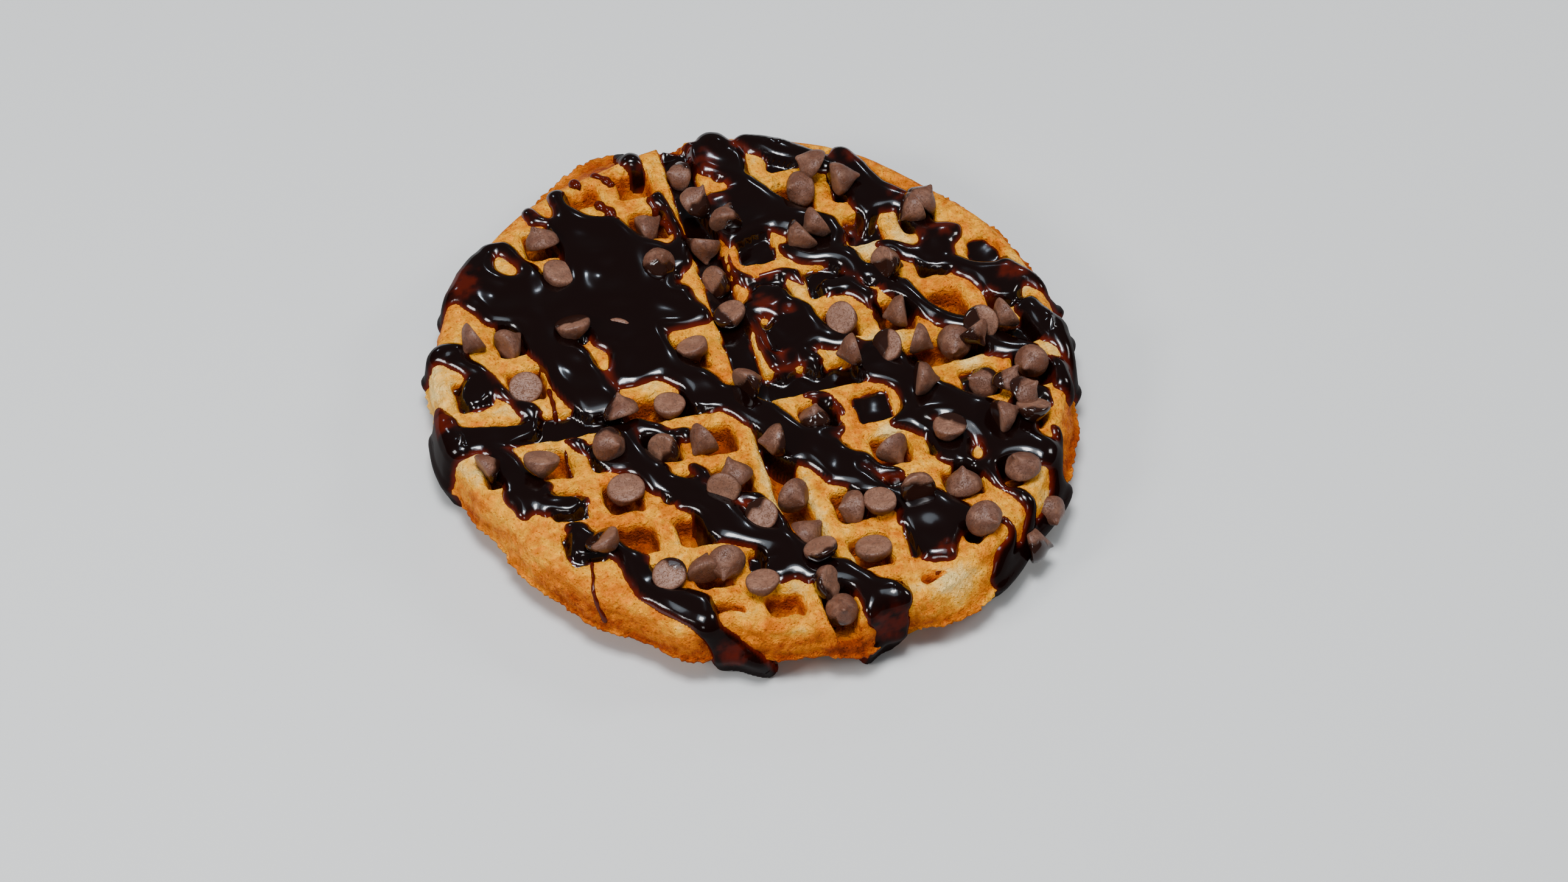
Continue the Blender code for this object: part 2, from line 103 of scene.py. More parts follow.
def lumps(x: Array, y: Array, length: float, seed: int) -> Array:
    """Smooth unevenness between about -1 and 1.

    Sum of ten cosines whose wave vectors have random directions and lengths near 1 / length.

    Args:
        x: Places along X, in mm.
        y: Places along Y, in mm.
        length: Typical wavelength, in mm.
        seed: Number that fixes the pattern.

    Returns:
        The field at each place.
    """
    random = np.random.default_rng(seed)
    total = np.zeros(np.shape(x))
    count = 10
    for _ in range(count):
        way = random.uniform(0.0, 2.0 * math.pi)
        pace = 2.0 * math.pi / (length * random.uniform(0.7, 1.6))
        phase = random.uniform(0.0, 2.0 * math.pi)
        total += np.cos(pace * (x * math.cos(way) + y * math.sin(way)) + phase)
    return total / math.sqrt(2.0 * count)


def unevenness(x: Array, y: Array, waves: Waves, shift: int = 0) -> Array:
    """Sum of lumps of several sizes.

    Args:
        x: Places along X, in mm.
        y: Places along Y, in mm.
        waves: Height, typical wavelength and seed of each size.
        shift: Number added to the seeds, so that each baked face has a pattern of its own.

    Returns:
        The field at each place.
    """
    return sum(height * lumps(x, y, length, seed + shift) for height, length, seed in waves)


def bell(x: Array, y: Array, patch: Sequence[float]) -> Array:
    """Bell curve over an oval patch, which is given as its centre and its half widths.

    Args:
        x: Places along X, in mm.
        y: Places along Y, in mm.
        patch: The centre's X and Y, then the half widths along X and Y.

    Returns:
        exp(-r^2), with r the distance from the centre in half widths.
    """
    at_x, at_y, wide_x, wide_y = patch
    return np.exp(-(((x - at_x) / wide_x) ** 2 + ((y - at_y) / wide_y) ** 2))


def blur(field_values: Array, spread: float) -> Array:
    """Gaussian blur of a grid, by its Fourier transform.

    Args:
        field_values: The grid, which fades to a constant at its border.
        spread: Standard deviation, in grid steps.

    Returns:
        The blurred grid.
    """
    rows = np.fft.fftfreq(field_values.shape[0])[:, None]
    columns = np.fft.fftfreq(field_values.shape[1])[None, :]
    gain = np.exp(-2.0 * (math.pi * spread) ** 2 * (rows * rows + columns * columns))
    return np.real(np.fft.ifft2(np.fft.fft2(field_values) * gain))


def placed(right: Array, up: Array, back: Array, place: Array) -> Matrix:
    """The matrix whose columns are three unit ways and a place."""
    columns = np.stack([right, up, back, place], axis=1)
    return Matrix([*columns.tolist(), [0.0, 0.0, 0.0, 1.0]])


# Small functions on grids and faces

def of_corners(values: Array, pick: np.ufunc) -> Array:
    """The smallest or the largest of the values at the four corners of each cell of a grid."""
    return pick(pick(values[:-1, :-1], values[1:, :-1]), pick(values[:-1, 1:], values[1:, 1:]))


def grid_quads(kept: Array) -> tuple[Array, Array]:
    """Faces of the kept cells of a grid.

    Args:
        kept: Whether each cell is kept.

    Returns:
        Numbers of the grid points in use, and for each kept cell its four corners among them.
    """
    rows, columns = kept.shape[0] + 1, kept.shape[1] + 1
    number = np.arange(rows * columns).reshape(rows, columns)
    quads = np.stack([number[:-1, :-1], number[1:, :-1], number[1:, 1:], number[:-1, 1:]], -1)[kept]
    used, place = np.unique(quads, return_inverse=True)
    return used, place.reshape(quads.shape)


def ring_quads(number: Array) -> Array:
    """Faces between each row of vertex numbers and the next, where each row is a closed ring."""
    after = np.roll(number, -1, axis=1)
    return np.stack([number[:-1], after[:-1], after[1:], number[1:]], -1).reshape(-1, 4)


def border_edges(quads: Array) -> Array:
    """The edges that belong to one face alone, in the direction that this face has them.

    Args:
        quads: Four corner numbers for each face.

    Returns:
        Two vertex numbers for each edge.
    """
    edges = np.concatenate([quads[:, [0, 1]], quads[:, [1, 2]], quads[:, [2, 3]], quads[:, [3, 0]]])
    ends = np.sort(edges, axis=1).astype(np.int64)
    code = ends[:, 0] * (int(quads.max()) + 1) + ends[:, 1]
    _, index, counts = np.unique(code, return_index=True, return_counts=True)
    return edges[index[counts == 1]]


# Pieces

def make_piece(name: str, points: Array, faces: Sequence[Array], material: Material,
               attributes: dict[str, Array]) -> None:
    """Puts arrays into a smooth mesh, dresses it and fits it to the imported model.

    Args:
        name: Name of the piece.
        points: Vertices in mm in the waffle's plan, one row each.
        faces: Arrays of corner numbers, one array for each number of corners a face.
        material: Its finish.
        attributes: Numbers for each vertex that the finish reads.
    """
    mesh = bpy.data.meshes.new(name)
    corners = np.concatenate([part.ravel() for part in faces])
    sizes = np.concatenate([np.full(len(part), part.shape[1]) for part in faces])
    starts = np.concatenate([[0], np.cumsum(sizes)[:-1]])
    mesh.vertices.add(len(points))
    mesh.vertices.foreach_set("co", ((points + PLAN_SHIFT) * MM).astype(np.float32).ravel())
    mesh.loops.add(len(corners))
    mesh.loops.foreach_set("vertex_index", corners.astype(np.int32))
    mesh.polygons.add(len(sizes))
    mesh.polygons.foreach_set("loop_start", starts.astype(np.int32))
    mesh.polygons.foreach_set("loop_total", sizes.astype(np.int32))
    mesh.polygons.foreach_set("use_smooth", np.full(len(sizes), True))
    for key, values in attributes.items():
        layer = mesh.attributes.new(key, "FLOAT", "POINT")
        layer.data.foreach_set("value", values.astype(np.float32))
    mesh.update(calc_edges=True)
    mesh.validate()
    mesh.materials.append(material)
    piece = bpy.data.objects.new(name, mesh)
    bpy.context.scene.collection.objects.link(piece)
    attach(piece, BODY)
    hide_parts(NODE)
    LOG.info("%s: %d vertices, %d triangles", name, len(points), int((sizes - 2).sum()))


# The waffle's plan and surface

class Face(Enum):
    """The two baked faces of the waffle."""

    TOP = 1
    UNDER = -1


@dataclass(frozen=True)
class Quarter:
    """One quarter's lattice of pockets."""

    right: bool
    rear: bool
    first: tuple[float, float]
    step_x: tuple[float, float]
    step_y: tuple[float, float]
    rows: tuple[int, ...]


@dataclass
class WafflePlan:
    """Sizes of the baked waffle, and its surface as functions of the place in plan."""

    thickness: float = 22.0
    seam_level: float = 10.0
    under_set_in: float = 4.0
    wall_share: float = 0.7
    under_wall_share: float = 0.4
    top_centre: tuple[float, float] = (-1.0, 5.5)
    top_radius: float = 88.0
    seam_centre: tuple[float, float] = (1.5, 8.0)
    seam_radius: float = 91.0
    shoulder: float = 3.3
    shoulder_drop: float = 2.5
    rim_inside_seam: float = 2.0
    first_pocket: float = 15.0
    pitch: float = 15.5
    pocket_half: float = 5.2
    pocket_corner: float = 1.6
    pocket_depth: float = 8.0
    floor_raised: float = 0.4
    pocket_to_rim: float = 4.0
    rim_wall_slope: float = 0.5
    rim_wall_round: float = 1.0
    no_pocket_near: float = 9.0
    most_pockets: int = 5
    groove_half: float = 4.2
    groove_depth: float = 8.4
    round_out: float = 0.9
    wall_span: float = 2.8
    wall_waves: Waves = ((0.36, 7.0, 20), (0.17, 3.0, 25))
    floor_waves: Waves = ((0.5, 28.0, 29),)
    relief_waves: Waves = ((0.26, 22.0, 40), (0.22, 7.0, 43), (0.09, 2.8, 47))
    quarters: tuple[Quarter, ...] = (
        Quarter(False, False, (-15.0, -14.0), (-15.2, 0.6), (1.25, -14.8), (5, 4, 4, 3, 2)),
        Quarter(True, False, (14.0, -13.0), (15.5, 0.5), (0.8, -15.8), (5, 5, 4, 3, 2)),
        Quarter(False, True, (-15.5, 16.5), (-15.3, 0.0), (-0.3, 16.2), (5, 4, 4, 3, 2)),
        Quarter(True, True, (12.0, 17.0), (15.8, 0.2), (-0.2, 16.2), (5, 5, 4, 3, 2)),
    )
    swellings: tuple[tuple[float, float, float], ...] = (
        (107.0, 7.0, 12.0), (204.0, -2.2, 22.0), (246.0, 1.5, 7.0), (253.0, -2.5, 4.0),
        (273.0, 2.5, 5.0), (281.0, -2.5, 4.0), (293.0, 4.5, 9.0), (353.0, -2.0, 12.0),
    )
    cross_route: tuple[tuple[float, ...], tuple[float, ...]] = (
        (-92.0, -45.0, 0.0, 45.0, 92.0), (1.0, 0.0, 0.0, 0.8, 4.5))
    long_route: tuple[tuple[float, ...], tuple[float, ...]] = (
        (-86.0, -35.0, 0.0, 50.0, 98.0), (5.0, 0.0, -0.8, -2.0, -3.0))

    def seam_reach(self, angle: Array) -> Array:
        """Radius of the ragged seam: the circle, two fine waves and a bell curve at each swelling.

        Args:
            angle: Angles round the seam's centre.

        Returns:
            The radius in mm.
        """
        reach = self.seam_radius + 0.4 * np.sin(13 * angle + 2.1) + 0.4 * np.sin(23 * angle + 4.0)
        for at, extent, width in self.swellings:
            apart = (np.degrees(angle) - at + 180.0) % 360.0 - 180.0
            reach = reach + extent * np.exp(-((apart / width) ** 2))
        return reach

    def seam_point(self, angle: Array) -> Array:
        """Points of the seam in plan: its centre plus its radius along the angle."""
        ways = np.stack([np.cos(angle), np.sin(angle)], axis=-1)
        return np.array(self.seam_centre) + self.seam_reach(angle)[..., None] * ways

    def rim_reach(self, angle: Array) -> Array:
        """Radius of the top rim round the top's centre, kept a little inside the seam.

        Args:
            angle: Angles round the top's centre.

        Returns:
            The radius in mm.
        """
        waves = 0.8 * np.sin(5 * angle + 1.1) + 0.5 * np.sin(11 * angle + 3.2)
        away = self.seam_point(angle) - np.array(self.top_centre)
        seam = away[..., 0] * np.cos(angle) + away[..., 1] * np.sin(angle)
        return np.minimum(self.top_radius + waves, seam - self.rim_inside_seam)

    def cross_groove(self, x: Array) -> Array:
        """Y of the groove that runs from left to right, at each X."""
        return np.interp(x, *self.cross_route)

    def long_groove(self, y: Array) -> Array:
        """X of the groove that runs from front to rear, at each Y."""
        return np.interp(y, *self.long_route)

    def lattice_to_plan(self, s: Array, t: Array) -> tuple[Array, Array]:
        """Maps the even lattice, whose pockets all have one pitch, to the waffle's real plan.

        Each quarter has a straight map of its own. The four blend across the grooves, and next
        to a groove the place is drawn to the groove's own route.

        Args:
            s: Lattice places from left to right.
            t: Lattice places from front to rear.

        Returns:
            X and Y in plan.
        """
        edge = self.groove_half + self.round_out
        right = ease((s + edge) / (2.0 * edge))
        rear = ease((t + edge) / (2.0 * edge))
        x = np.zeros(np.shape(s))
        y = np.zeros(np.shape(s))
        for quarter in self.quarters:
            weight = (right if quarter.right else 1.0 - right) * (rear if quarter.rear else 1.0 - rear)
            u = ((s if quarter.right else -s) - self.first_pocket) / self.pitch
            v = ((t if quarter.rear else -t) - self.first_pocket) / self.pitch
            x += weight * (quarter.first[0] + quarter.step_x[0] * u + quarter.step_y[0] * v)
            y += weight * (quarter.first[1] + quarter.step_x[1] * u + quarter.step_y[1] * v)
        land = self.first_pocket - self.pocket_half - edge
        by_cross = 1.0 - ease((np.abs(t) - edge) / land)
        by_long = 1.0 - ease((np.abs(s) - edge) / land)
        y = y + by_cross * (self.cross_groove(x) + t - y)
        x = x + by_long * (self.long_groove(y) + s - x)
        return x, y

    def plan_to_lattice(self, x: Array, y: Array) -> tuple[Array, Array]:
        """The lattice place of each place in plan, by correcting a guess by its error ten times.

        Args:
            x: X in plan.
            y: Y in plan.

        Returns:
            Lattice places from left to right and from front to rear.
        """
        s, t = x.copy(), y.copy()
        for _ in range(10):
            there_x, there_y = self.lattice_to_plan(s, t)
            s = s + 0.8 * (x - there_x)
            t = t + 0.8 * (y - there_y)
        return s, t

    def half_height(self, face: Face) -> float:
        """Height of the upper or the lower half, from its face to the seam."""
        return self.thickness - self.seam_level if face is Face.TOP else self.seam_level

    def set_in(self, face: Face) -> float:
        """How far a face's rim is set in."""
        return 0.0 if face is Face.TOP else self.under_set_in

    def pocket_distance(self, s: Array, t: Array, x: Array, y: Array,
                        set_in: float = 0.0) -> Array:
        """Distance outside the edge of the nearest pocket, less than 0 inside it.

        A rounded square about the nearest lattice point, cut off near the rim by a gentler wall.

        Args:
            s: Lattice places from left to right.
            t: Lattice places from front to rear.
            x: X of the same places in plan.
            y: Y of the same places in plan.
            set_in: How far the face's rim is set in.

        Returns:
            The distance in mm.
        """
        u = (np.abs(s) - self.first_pocket) / self.pitch
        v = (np.abs(t) - self.first_pocket) / self.pitch
        column = np.clip(np.rint(u), 0, self.most_pockets).astype(int)
        row = np.clip(np.rint(v), 0, self.most_pockets).astype(int)
        inner = self.pocket_half - self.pocket_corner
        out_s = np.abs(u - column) * self.pitch - inner
        out_t = np.abs(v - row) * self.pitch - inner
        apart = np.hypot(np.maximum(out_s, 0.0), np.maximum(out_t, 0.0))
        square = apart + np.minimum(np.maximum(out_s, out_t), 0.0) - self.pocket_corner
        counts = np.zeros((2, 2, self.most_pockets + 1), int)
        for quarter in self.quarters:
            counts[int(quarter.right), int(quarter.rear), :self.most_pockets] = quarter.rows
        real = column < counts[(s > 0).astype(int), (t > 0).astype(int), row]
        away_x, away_y = x - self.top_centre[0], y - self.top_centre[1]
        limit = self.rim_reach(np.arctan2(away_y, away_x)) - self.pocket_to_rim - set_in
        by_rim = self.rim_wall_slope * (np.hypot(away_x, away_y) - limit)
        return np.where(real, soft_max(square, by_rim, self.rim_wall_round), self.no_pocket_near)

    def wall_drop(self, distance: Array, depth: Any) -> Array:
        """How far the surface is sunk at a distance outside an edge: a steep rounded ramp."""
        share = np.clip((self.round_out - distance) / self.wall_span, 0.0, 1.0)
        return depth * ease(share ** 1.2)

    def groove_drop(self, x: Array, y: Array, wobble: Any = 0.0) -> Array:
        """How far the surface is sunk by the two grooves at places in plan.

        Args:
            x: X in plan.
            y: Y in plan.
            wobble: Unevenness of the grooves' edges, in mm.

        Returns:
            The depth in mm.
        """
        cross = np.abs(y - self.cross_groove(x)) - self.groove_half + wobble
        long = np.abs(x - self.long_groove(y)) - self.groove_half + wobble
        return np.maximum(self.wall_drop(cross, self.groove_depth), self.wall_drop(long, self.groove_depth))

    def drop(self, s: Array, t: Array, x: Array, y: Array, face: Face) -> Array:
        """How far pockets and grooves sink the surface of a face below its ribs.

        Args:
            s: Lattice places from left to right.
            t: Lattice places from front to rear.
            x: X of the same places in plan.
            y: Y of the same places in plan.
            face: Which baked face.

        Returns:
            The depth in mm.
        """
        wobble = unevenness(x, y, self.wall_waves, face.value)
        distance = self.pocket_distance(s, t, x, y, self.set_in(face)) + wobble
        depth = self.pocket_depth - self.floor_raised + unevenness(x, y, self.floor_waves, face.value)
        return np.maximum(self.wall_drop(distance, depth), self.groove_drop(x, y, wobble))

    def relief(self, x: Array, y: Array, face: Face) -> Array:
        """Low unevenness of the ribs and floors: long swells with finer crumb on them."""
        return unevenness(x, y, self.relief_waves, face.value)

    def top_level(self, x: Array, y: Array) -> Array:
        """Height of the top surface at places in plan inside the shoulder."""
        s, t = self.plan_to_lattice(x, y)
        return self.thickness + self.relief(x, y, Face.TOP) - self.drop(s, t, x, y, Face.TOP)


# Shader tools

class Value:
    """A shader socket that takes part in arithmetic: an expression on it adds Math nodes."""

    def __init__(self, paint: "Paint", socket: NodeSocket) -> None:
        """Keeps the material being built and the socket."""
        self.paint = paint
        self.socket = socket

    def math(self, operation: str, *others: Any) -> "Value":
        """A Math node's result on this value and the others."""
        return self.paint.math(operation, self, *others)

    def __add__(self, other: Any) -> "Value":
        """The sum."""
        return self.math("ADD", other)

    __radd__ = __add__

    def __sub__(self, other: Any) -> "Value":
        """The difference."""
        return self.math("SUBTRACT", other)

    def __rsub__(self, other: Any) -> "Value":
        """The difference with this value taken away."""
        return self.paint.math("SUBTRACT", other, self)

    def __mul__(self, other: Any) -> "Value":
        """The product."""
        return self.math("MULTIPLY", other)

    __rmul__ = __mul__

    def held(self) -> "Value":
        """The value kept between 0 and 1."""
        return self.paint.math("ADD", self, 0.0, clamp=True)

    def between(self, low: float, high: float) -> "Value":
        """0 below low, 1 above high and smooth between.

        Args:
            low: Where it starts to rise.
            high: Where it reaches 1.

        Returns:
            The share.
        """
        made = self.paint.node("ShaderNodeMapRange", {"interpolation_type": "SMOOTHSTEP"},
                               {"Value": self, "From Min": low, "From Max": high})
        return Value(self.paint, made.outputs["Result"])


class Paint:
    """A material while it is built."""

    def __init__(self, name: str) -> None:
        """Starts a material with its Principled shader."""
        self.material = bpy.data.materials.new(name)
        self.material.use_nodes = True
        self.tree = self.material.node_tree
        self.shader = self.tree.nodes["Principled BSDF"]
        self.place = self.node("ShaderNodeTexCoord").outputs["Object"]

    def feed(self, socket: NodeSocket, value: Any) -> None:
        """Sets a socket's own number or colour, or links what is given to it.

        Args:
            socket: The socket.
            value: A number, a colour, a vector, or a link's other end.
        """
        if isinstance(value, Value):
            value = value.socket
        if isinstance(value, NodeSocket):
            self.tree.links.new(value, socket)
        elif isinstance(value, tuple) and len(value) == 3 and socket.type == "RGBA":
            socket.default_value = (*value, 1.0)
        else:
            socket.default_value = value

    def node(self, kind: str, settings: Optional[dict] = None, inputs: Optional[dict] = None) -> Node:
        """Adds a node.

        Args:
            kind: The node's type.
            settings: Its properties, set first. Stops are a ramp's places and colours.
            inputs: Values or links of its sockets, by name or number.

        Returns:
            The node.
        """
        made = self.tree.nodes.new(kind)
        for key, value in (settings or {}).items():
            if key == "stops":
                self.set_stops(made.color_ramp, value)
            else:
                setattr(made, key, value)
        for key, value in (inputs or {}).items():
            self.feed(made.inputs[key], value)
        return made

    def set_stops(self, ramp: ColorRamp, stops: Sequence[tuple]) -> None:
        """Gives a ramp its places and colours.

        Args:
            ramp: The ramp.
            stops: Place and colour of each stop, in order.
        """
        while len(ramp.elements) < len(stops):
            ramp.elements.new(0.5)
        for element, (place, colour) in zip(ramp.elements, stops):
            element.position = place
            element.color = (*colour, 1.0)

    def math(self, operation: str, first: Any, second: Any = 0.0, clamp: bool = False) -> Value:
        """The result of a Math node on one or two values."""
        settings = {"operation": operation, "use_clamp": clamp}
        return Value(self, self.node("ShaderNodeMath", settings, {0: first, 1: second}).outputs[0])

    def attribute(self, name: str) -> Value:
        """A number that the mesh holds for each vertex."""
        return Value(self, self.node("ShaderNodeAttribute", {"attribute_name": name}).outputs["Fac"])

    def noise(self, scale: float, detail: float = 3.0, roughness: float = 0.55,
              distortion: float = 0.0) -> Value:
        """Noise on Object coordinates, with its scale in features a metre.

        Args:
            scale: Features a metre.
            detail: Number of finer sizes.
            roughness: Strength of the finer sizes.
            distortion: How far the places are warped.

        Returns:
            Values of about 0 to 1.
        """
        made = self.node("ShaderNodeTexNoise", None, {
            "Vector": self.place, "Scale": scale, "Detail": detail,
            "Roughness": roughness, "Distortion": distortion})
        return Value(self, made.outputs[0])

    def cells(self, scale: float) -> Value:
        """Distance to the nearest of scattered points, for pores."""
        made = self.node("ShaderNodeTexVoronoi", None, {"Vector": self.place, "Scale": scale})
        return Value(self, made.outputs["Distance"])

    def ramp(self, value: Value, stops: Sequence[tuple]) -> NodeSocket:
        """A colour read from a ramp."""
        return self.node("ShaderNodeValToRGB", {"stops": stops}, {"Fac": value}).outputs["Color"]

    def blend(self, share: Value, first: Any, second: Any) -> NodeSocket:
        """A mix of two colours."""
        return self.node("ShaderNodeMix", {"data_type": "RGBA"}, {0: share, 6: first, 7: second}).outputs[2]

    def bump(self, height: Value, distance: float, strength: float) -> NodeSocket:
        """A normal pushed by a height in metres times the distance."""
        inputs = {"Height": height, "Distance": distance, "Strength": strength}
        return self.node("ShaderNodeBump", None, inputs).outputs["Normal"]

    def finish(self, **sockets: Any) -> Material:
        """Feeds the shader's sockets, named with underscores for spaces, and gives the material.

        Args:
            sockets: Value or link of each socket.

        Returns:
            The material.
        """
        for key, value in sockets.items():
            self.feed(self.shader.inputs[key.replace("_", " ")], value)
        return self.material


@dataclass(frozen=True)
class CrustFinish:
    """Baked crust: cream where it is least baked, golden, then brown, with painted shade in the pockets and
    pores and a painted highlight along the ribs' edges.
    """

    cream: Colour = (0.97, 0.64, 0.20)
    light: Colour = (0.95, 0.39, 0.012)
    golden: Colour = (0.71, 0.182, 0.001)
    brown: Colour = (0.35, 0.050, 0.001)
    dark: Colour = (0.15, 0.016, 0.001)
    stops: tuple[float, ...] = (0.0, 0.30, 0.50, 0.74, 1.0)
    broad_share: float = 0.62
    mottle_share: float = 0.60
    grain_share: float = 0.14
    pore_painted_shade: float = 0.08
    relief: float = 0.0036

    def make(self) -> Material:
        """Builds the material.

        The mesh's number for bake and painted shade is moved by noise at three sizes, darkened in
        the pores as painted shade, and read from a ramp of crust colours. Wrinkles, grain and small
        pores push the normal.

        Returns:
            The material.
        """
        paint = Paint("baked_crust")
        # Bake number with painted shade in the pockets and a painted highlight on the ribs' edges
        bake = paint.attribute("bake")
        broad = paint.noise(70.0, 3.0) - 0.5
        mottle = paint.noise(300.0, 4.0, 0.62, 0.6) - 0.5
        grain = paint.noise(1500.0, 3.0, 0.6)
        pores = paint.cells(900.0).between(0.12, 0.32)
        shade = bake + broad * self.broad_share + mottle * self.mottle_share
        # Painted shade: the crust is darker in the small pores
        shade = shade + (grain - 0.5) * self.grain_share + (1.0 - pores) * self.pore_painted_shade
        tones = (self.cream, self.light, self.golden, self.brown, self.dark)
        wrinkle = paint.noise(420.0, 5.0, 0.62, 0.8)
        height = wrinkle * 0.9 + grain * 0.18 + pores * 0.12
        return paint.finish(
            Base_Color=paint.ramp(shade.held(), tuple(zip(self.stops, tones))),
            Roughness=(0.62 + mottle * 0.25).held(),
            Normal=paint.bump(height, self.relief, 1.0),
            Subsurface_Weight=0.08,
            Subsurface_Radius=(0.004, 0.0016, 0.0004),
            Subsurface_Scale=1.0,
            Specular_IOR_Level=0.08,
        )


@dataclass(frozen=True)
class SauceFinish:
    """Glossy chocolate sauce: nearly black where thick, red-brown where a thin film."""

    thick: Colour = (0.0045, 0.0008, 0.0005)
    film: Colour = (0.105, 0.007, 0.0015)
    gloss: float = 0.9
    gloss_lost_on_side: float = 0.76
    gloss_tint: Colour = (0.80, 0.90, 1.0)

    def make(self) -> Material:
        """Builds the material: the film number of the mesh mixes the two colours.

        Returns:
            The material.
        """
        paint = Paint("chocolate_sauce")
        film = paint.attribute("film").held()
        ripple = paint.noise(160.0, 2.0, 0.4)
        return paint.finish(
            Base_Color=paint.blend(film, self.thick, self.film),
            Roughness=0.5,
            Normal=paint.bump(ripple, 0.0005, 0.12),
            Specular_IOR_Level=0.0,
            Coat_Weight=self.gloss - paint.attribute("side").held() * self.gloss_lost_on_side,
            Coat_Roughness=0.12,
            Coat_Tint=self.gloss_tint,
        )


@dataclass(frozen=True)
class ChipFinish:
    """Milk chocolate with a pale bloom and a painted highlight on the flat bases, and sauce over part of some
    chips.
    """

    chocolate: Colour = (0.085, 0.028, 0.013)
    bloom_and_highlight: Colour = (0.24, 0.115, 0.070)
    coat: Colour = (0.016, 0.005, 0.003)
    roughness: float = 0.5
    coated_smoother: float = 0.42
    relief: float = 0.0008

    def make(self) -> Material:
        """Builds the material: scuffs mix in the bloom, the flat bases a painted highlight, the coat number
        the sauce.

        Returns:
            The material.
        """
        paint = Paint("chocolate_chip")
        coat = paint.attribute("coat").between(0.42, 0.58)
        cloudy = paint.noise(300.0, 4.0, 0.65)
        scuffs = paint.noise(1100.0, 5.0, 0.7, 1.6).between(0.52, 0.70)
        # The flat base is paler as a painted highlight, on top of the bloom of clouds and scuffs
        bloom_and_highlight_share = cloudy.between(0.4, 0.75) * 0.5 + scuffs * 0.45 + paint.attribute("disc") * 0.35
        matt = paint.blend(bloom_and_highlight_share.held(), self.chocolate, self.bloom_and_highlight)
        height = (cloudy * 0.6 + scuffs * 0.25) * (1.0 - coat)
        return paint.finish(
            Base_Color=paint.blend(coat, matt, self.coat),
            Roughness=self.roughness - coat * self.coated_smoother,
            Normal=paint.bump(height, self.relief, 0.9),
            Specular_IOR_Level=0.4,
        )


@dataclass(frozen=True)
class FloorFinish:
    """Plain pale floor."""

    colour: Colour = (0.55, 0.55, 0.54)
    other: Colour = (0.50, 0.50, 0.50)

    def make(self) -> Material:
        """Builds the material: one pale grey with a faint unevenness."""
        paint = Paint("pale_floor")
        cloudy = paint.noise(9.0, 3.0)
        return paint.finish(Base_Color=paint.blend(cloudy * 0.2, self.colour, self.other), Roughness=0.7)


# The baked waffle

@dataclass
class Patch:
    """Part of a half's surface: places in plan, depth below the face and each one's number for bake and
    painted shade.
    """

    x: Array
    y: Array
    depth: Array
    bake: Array


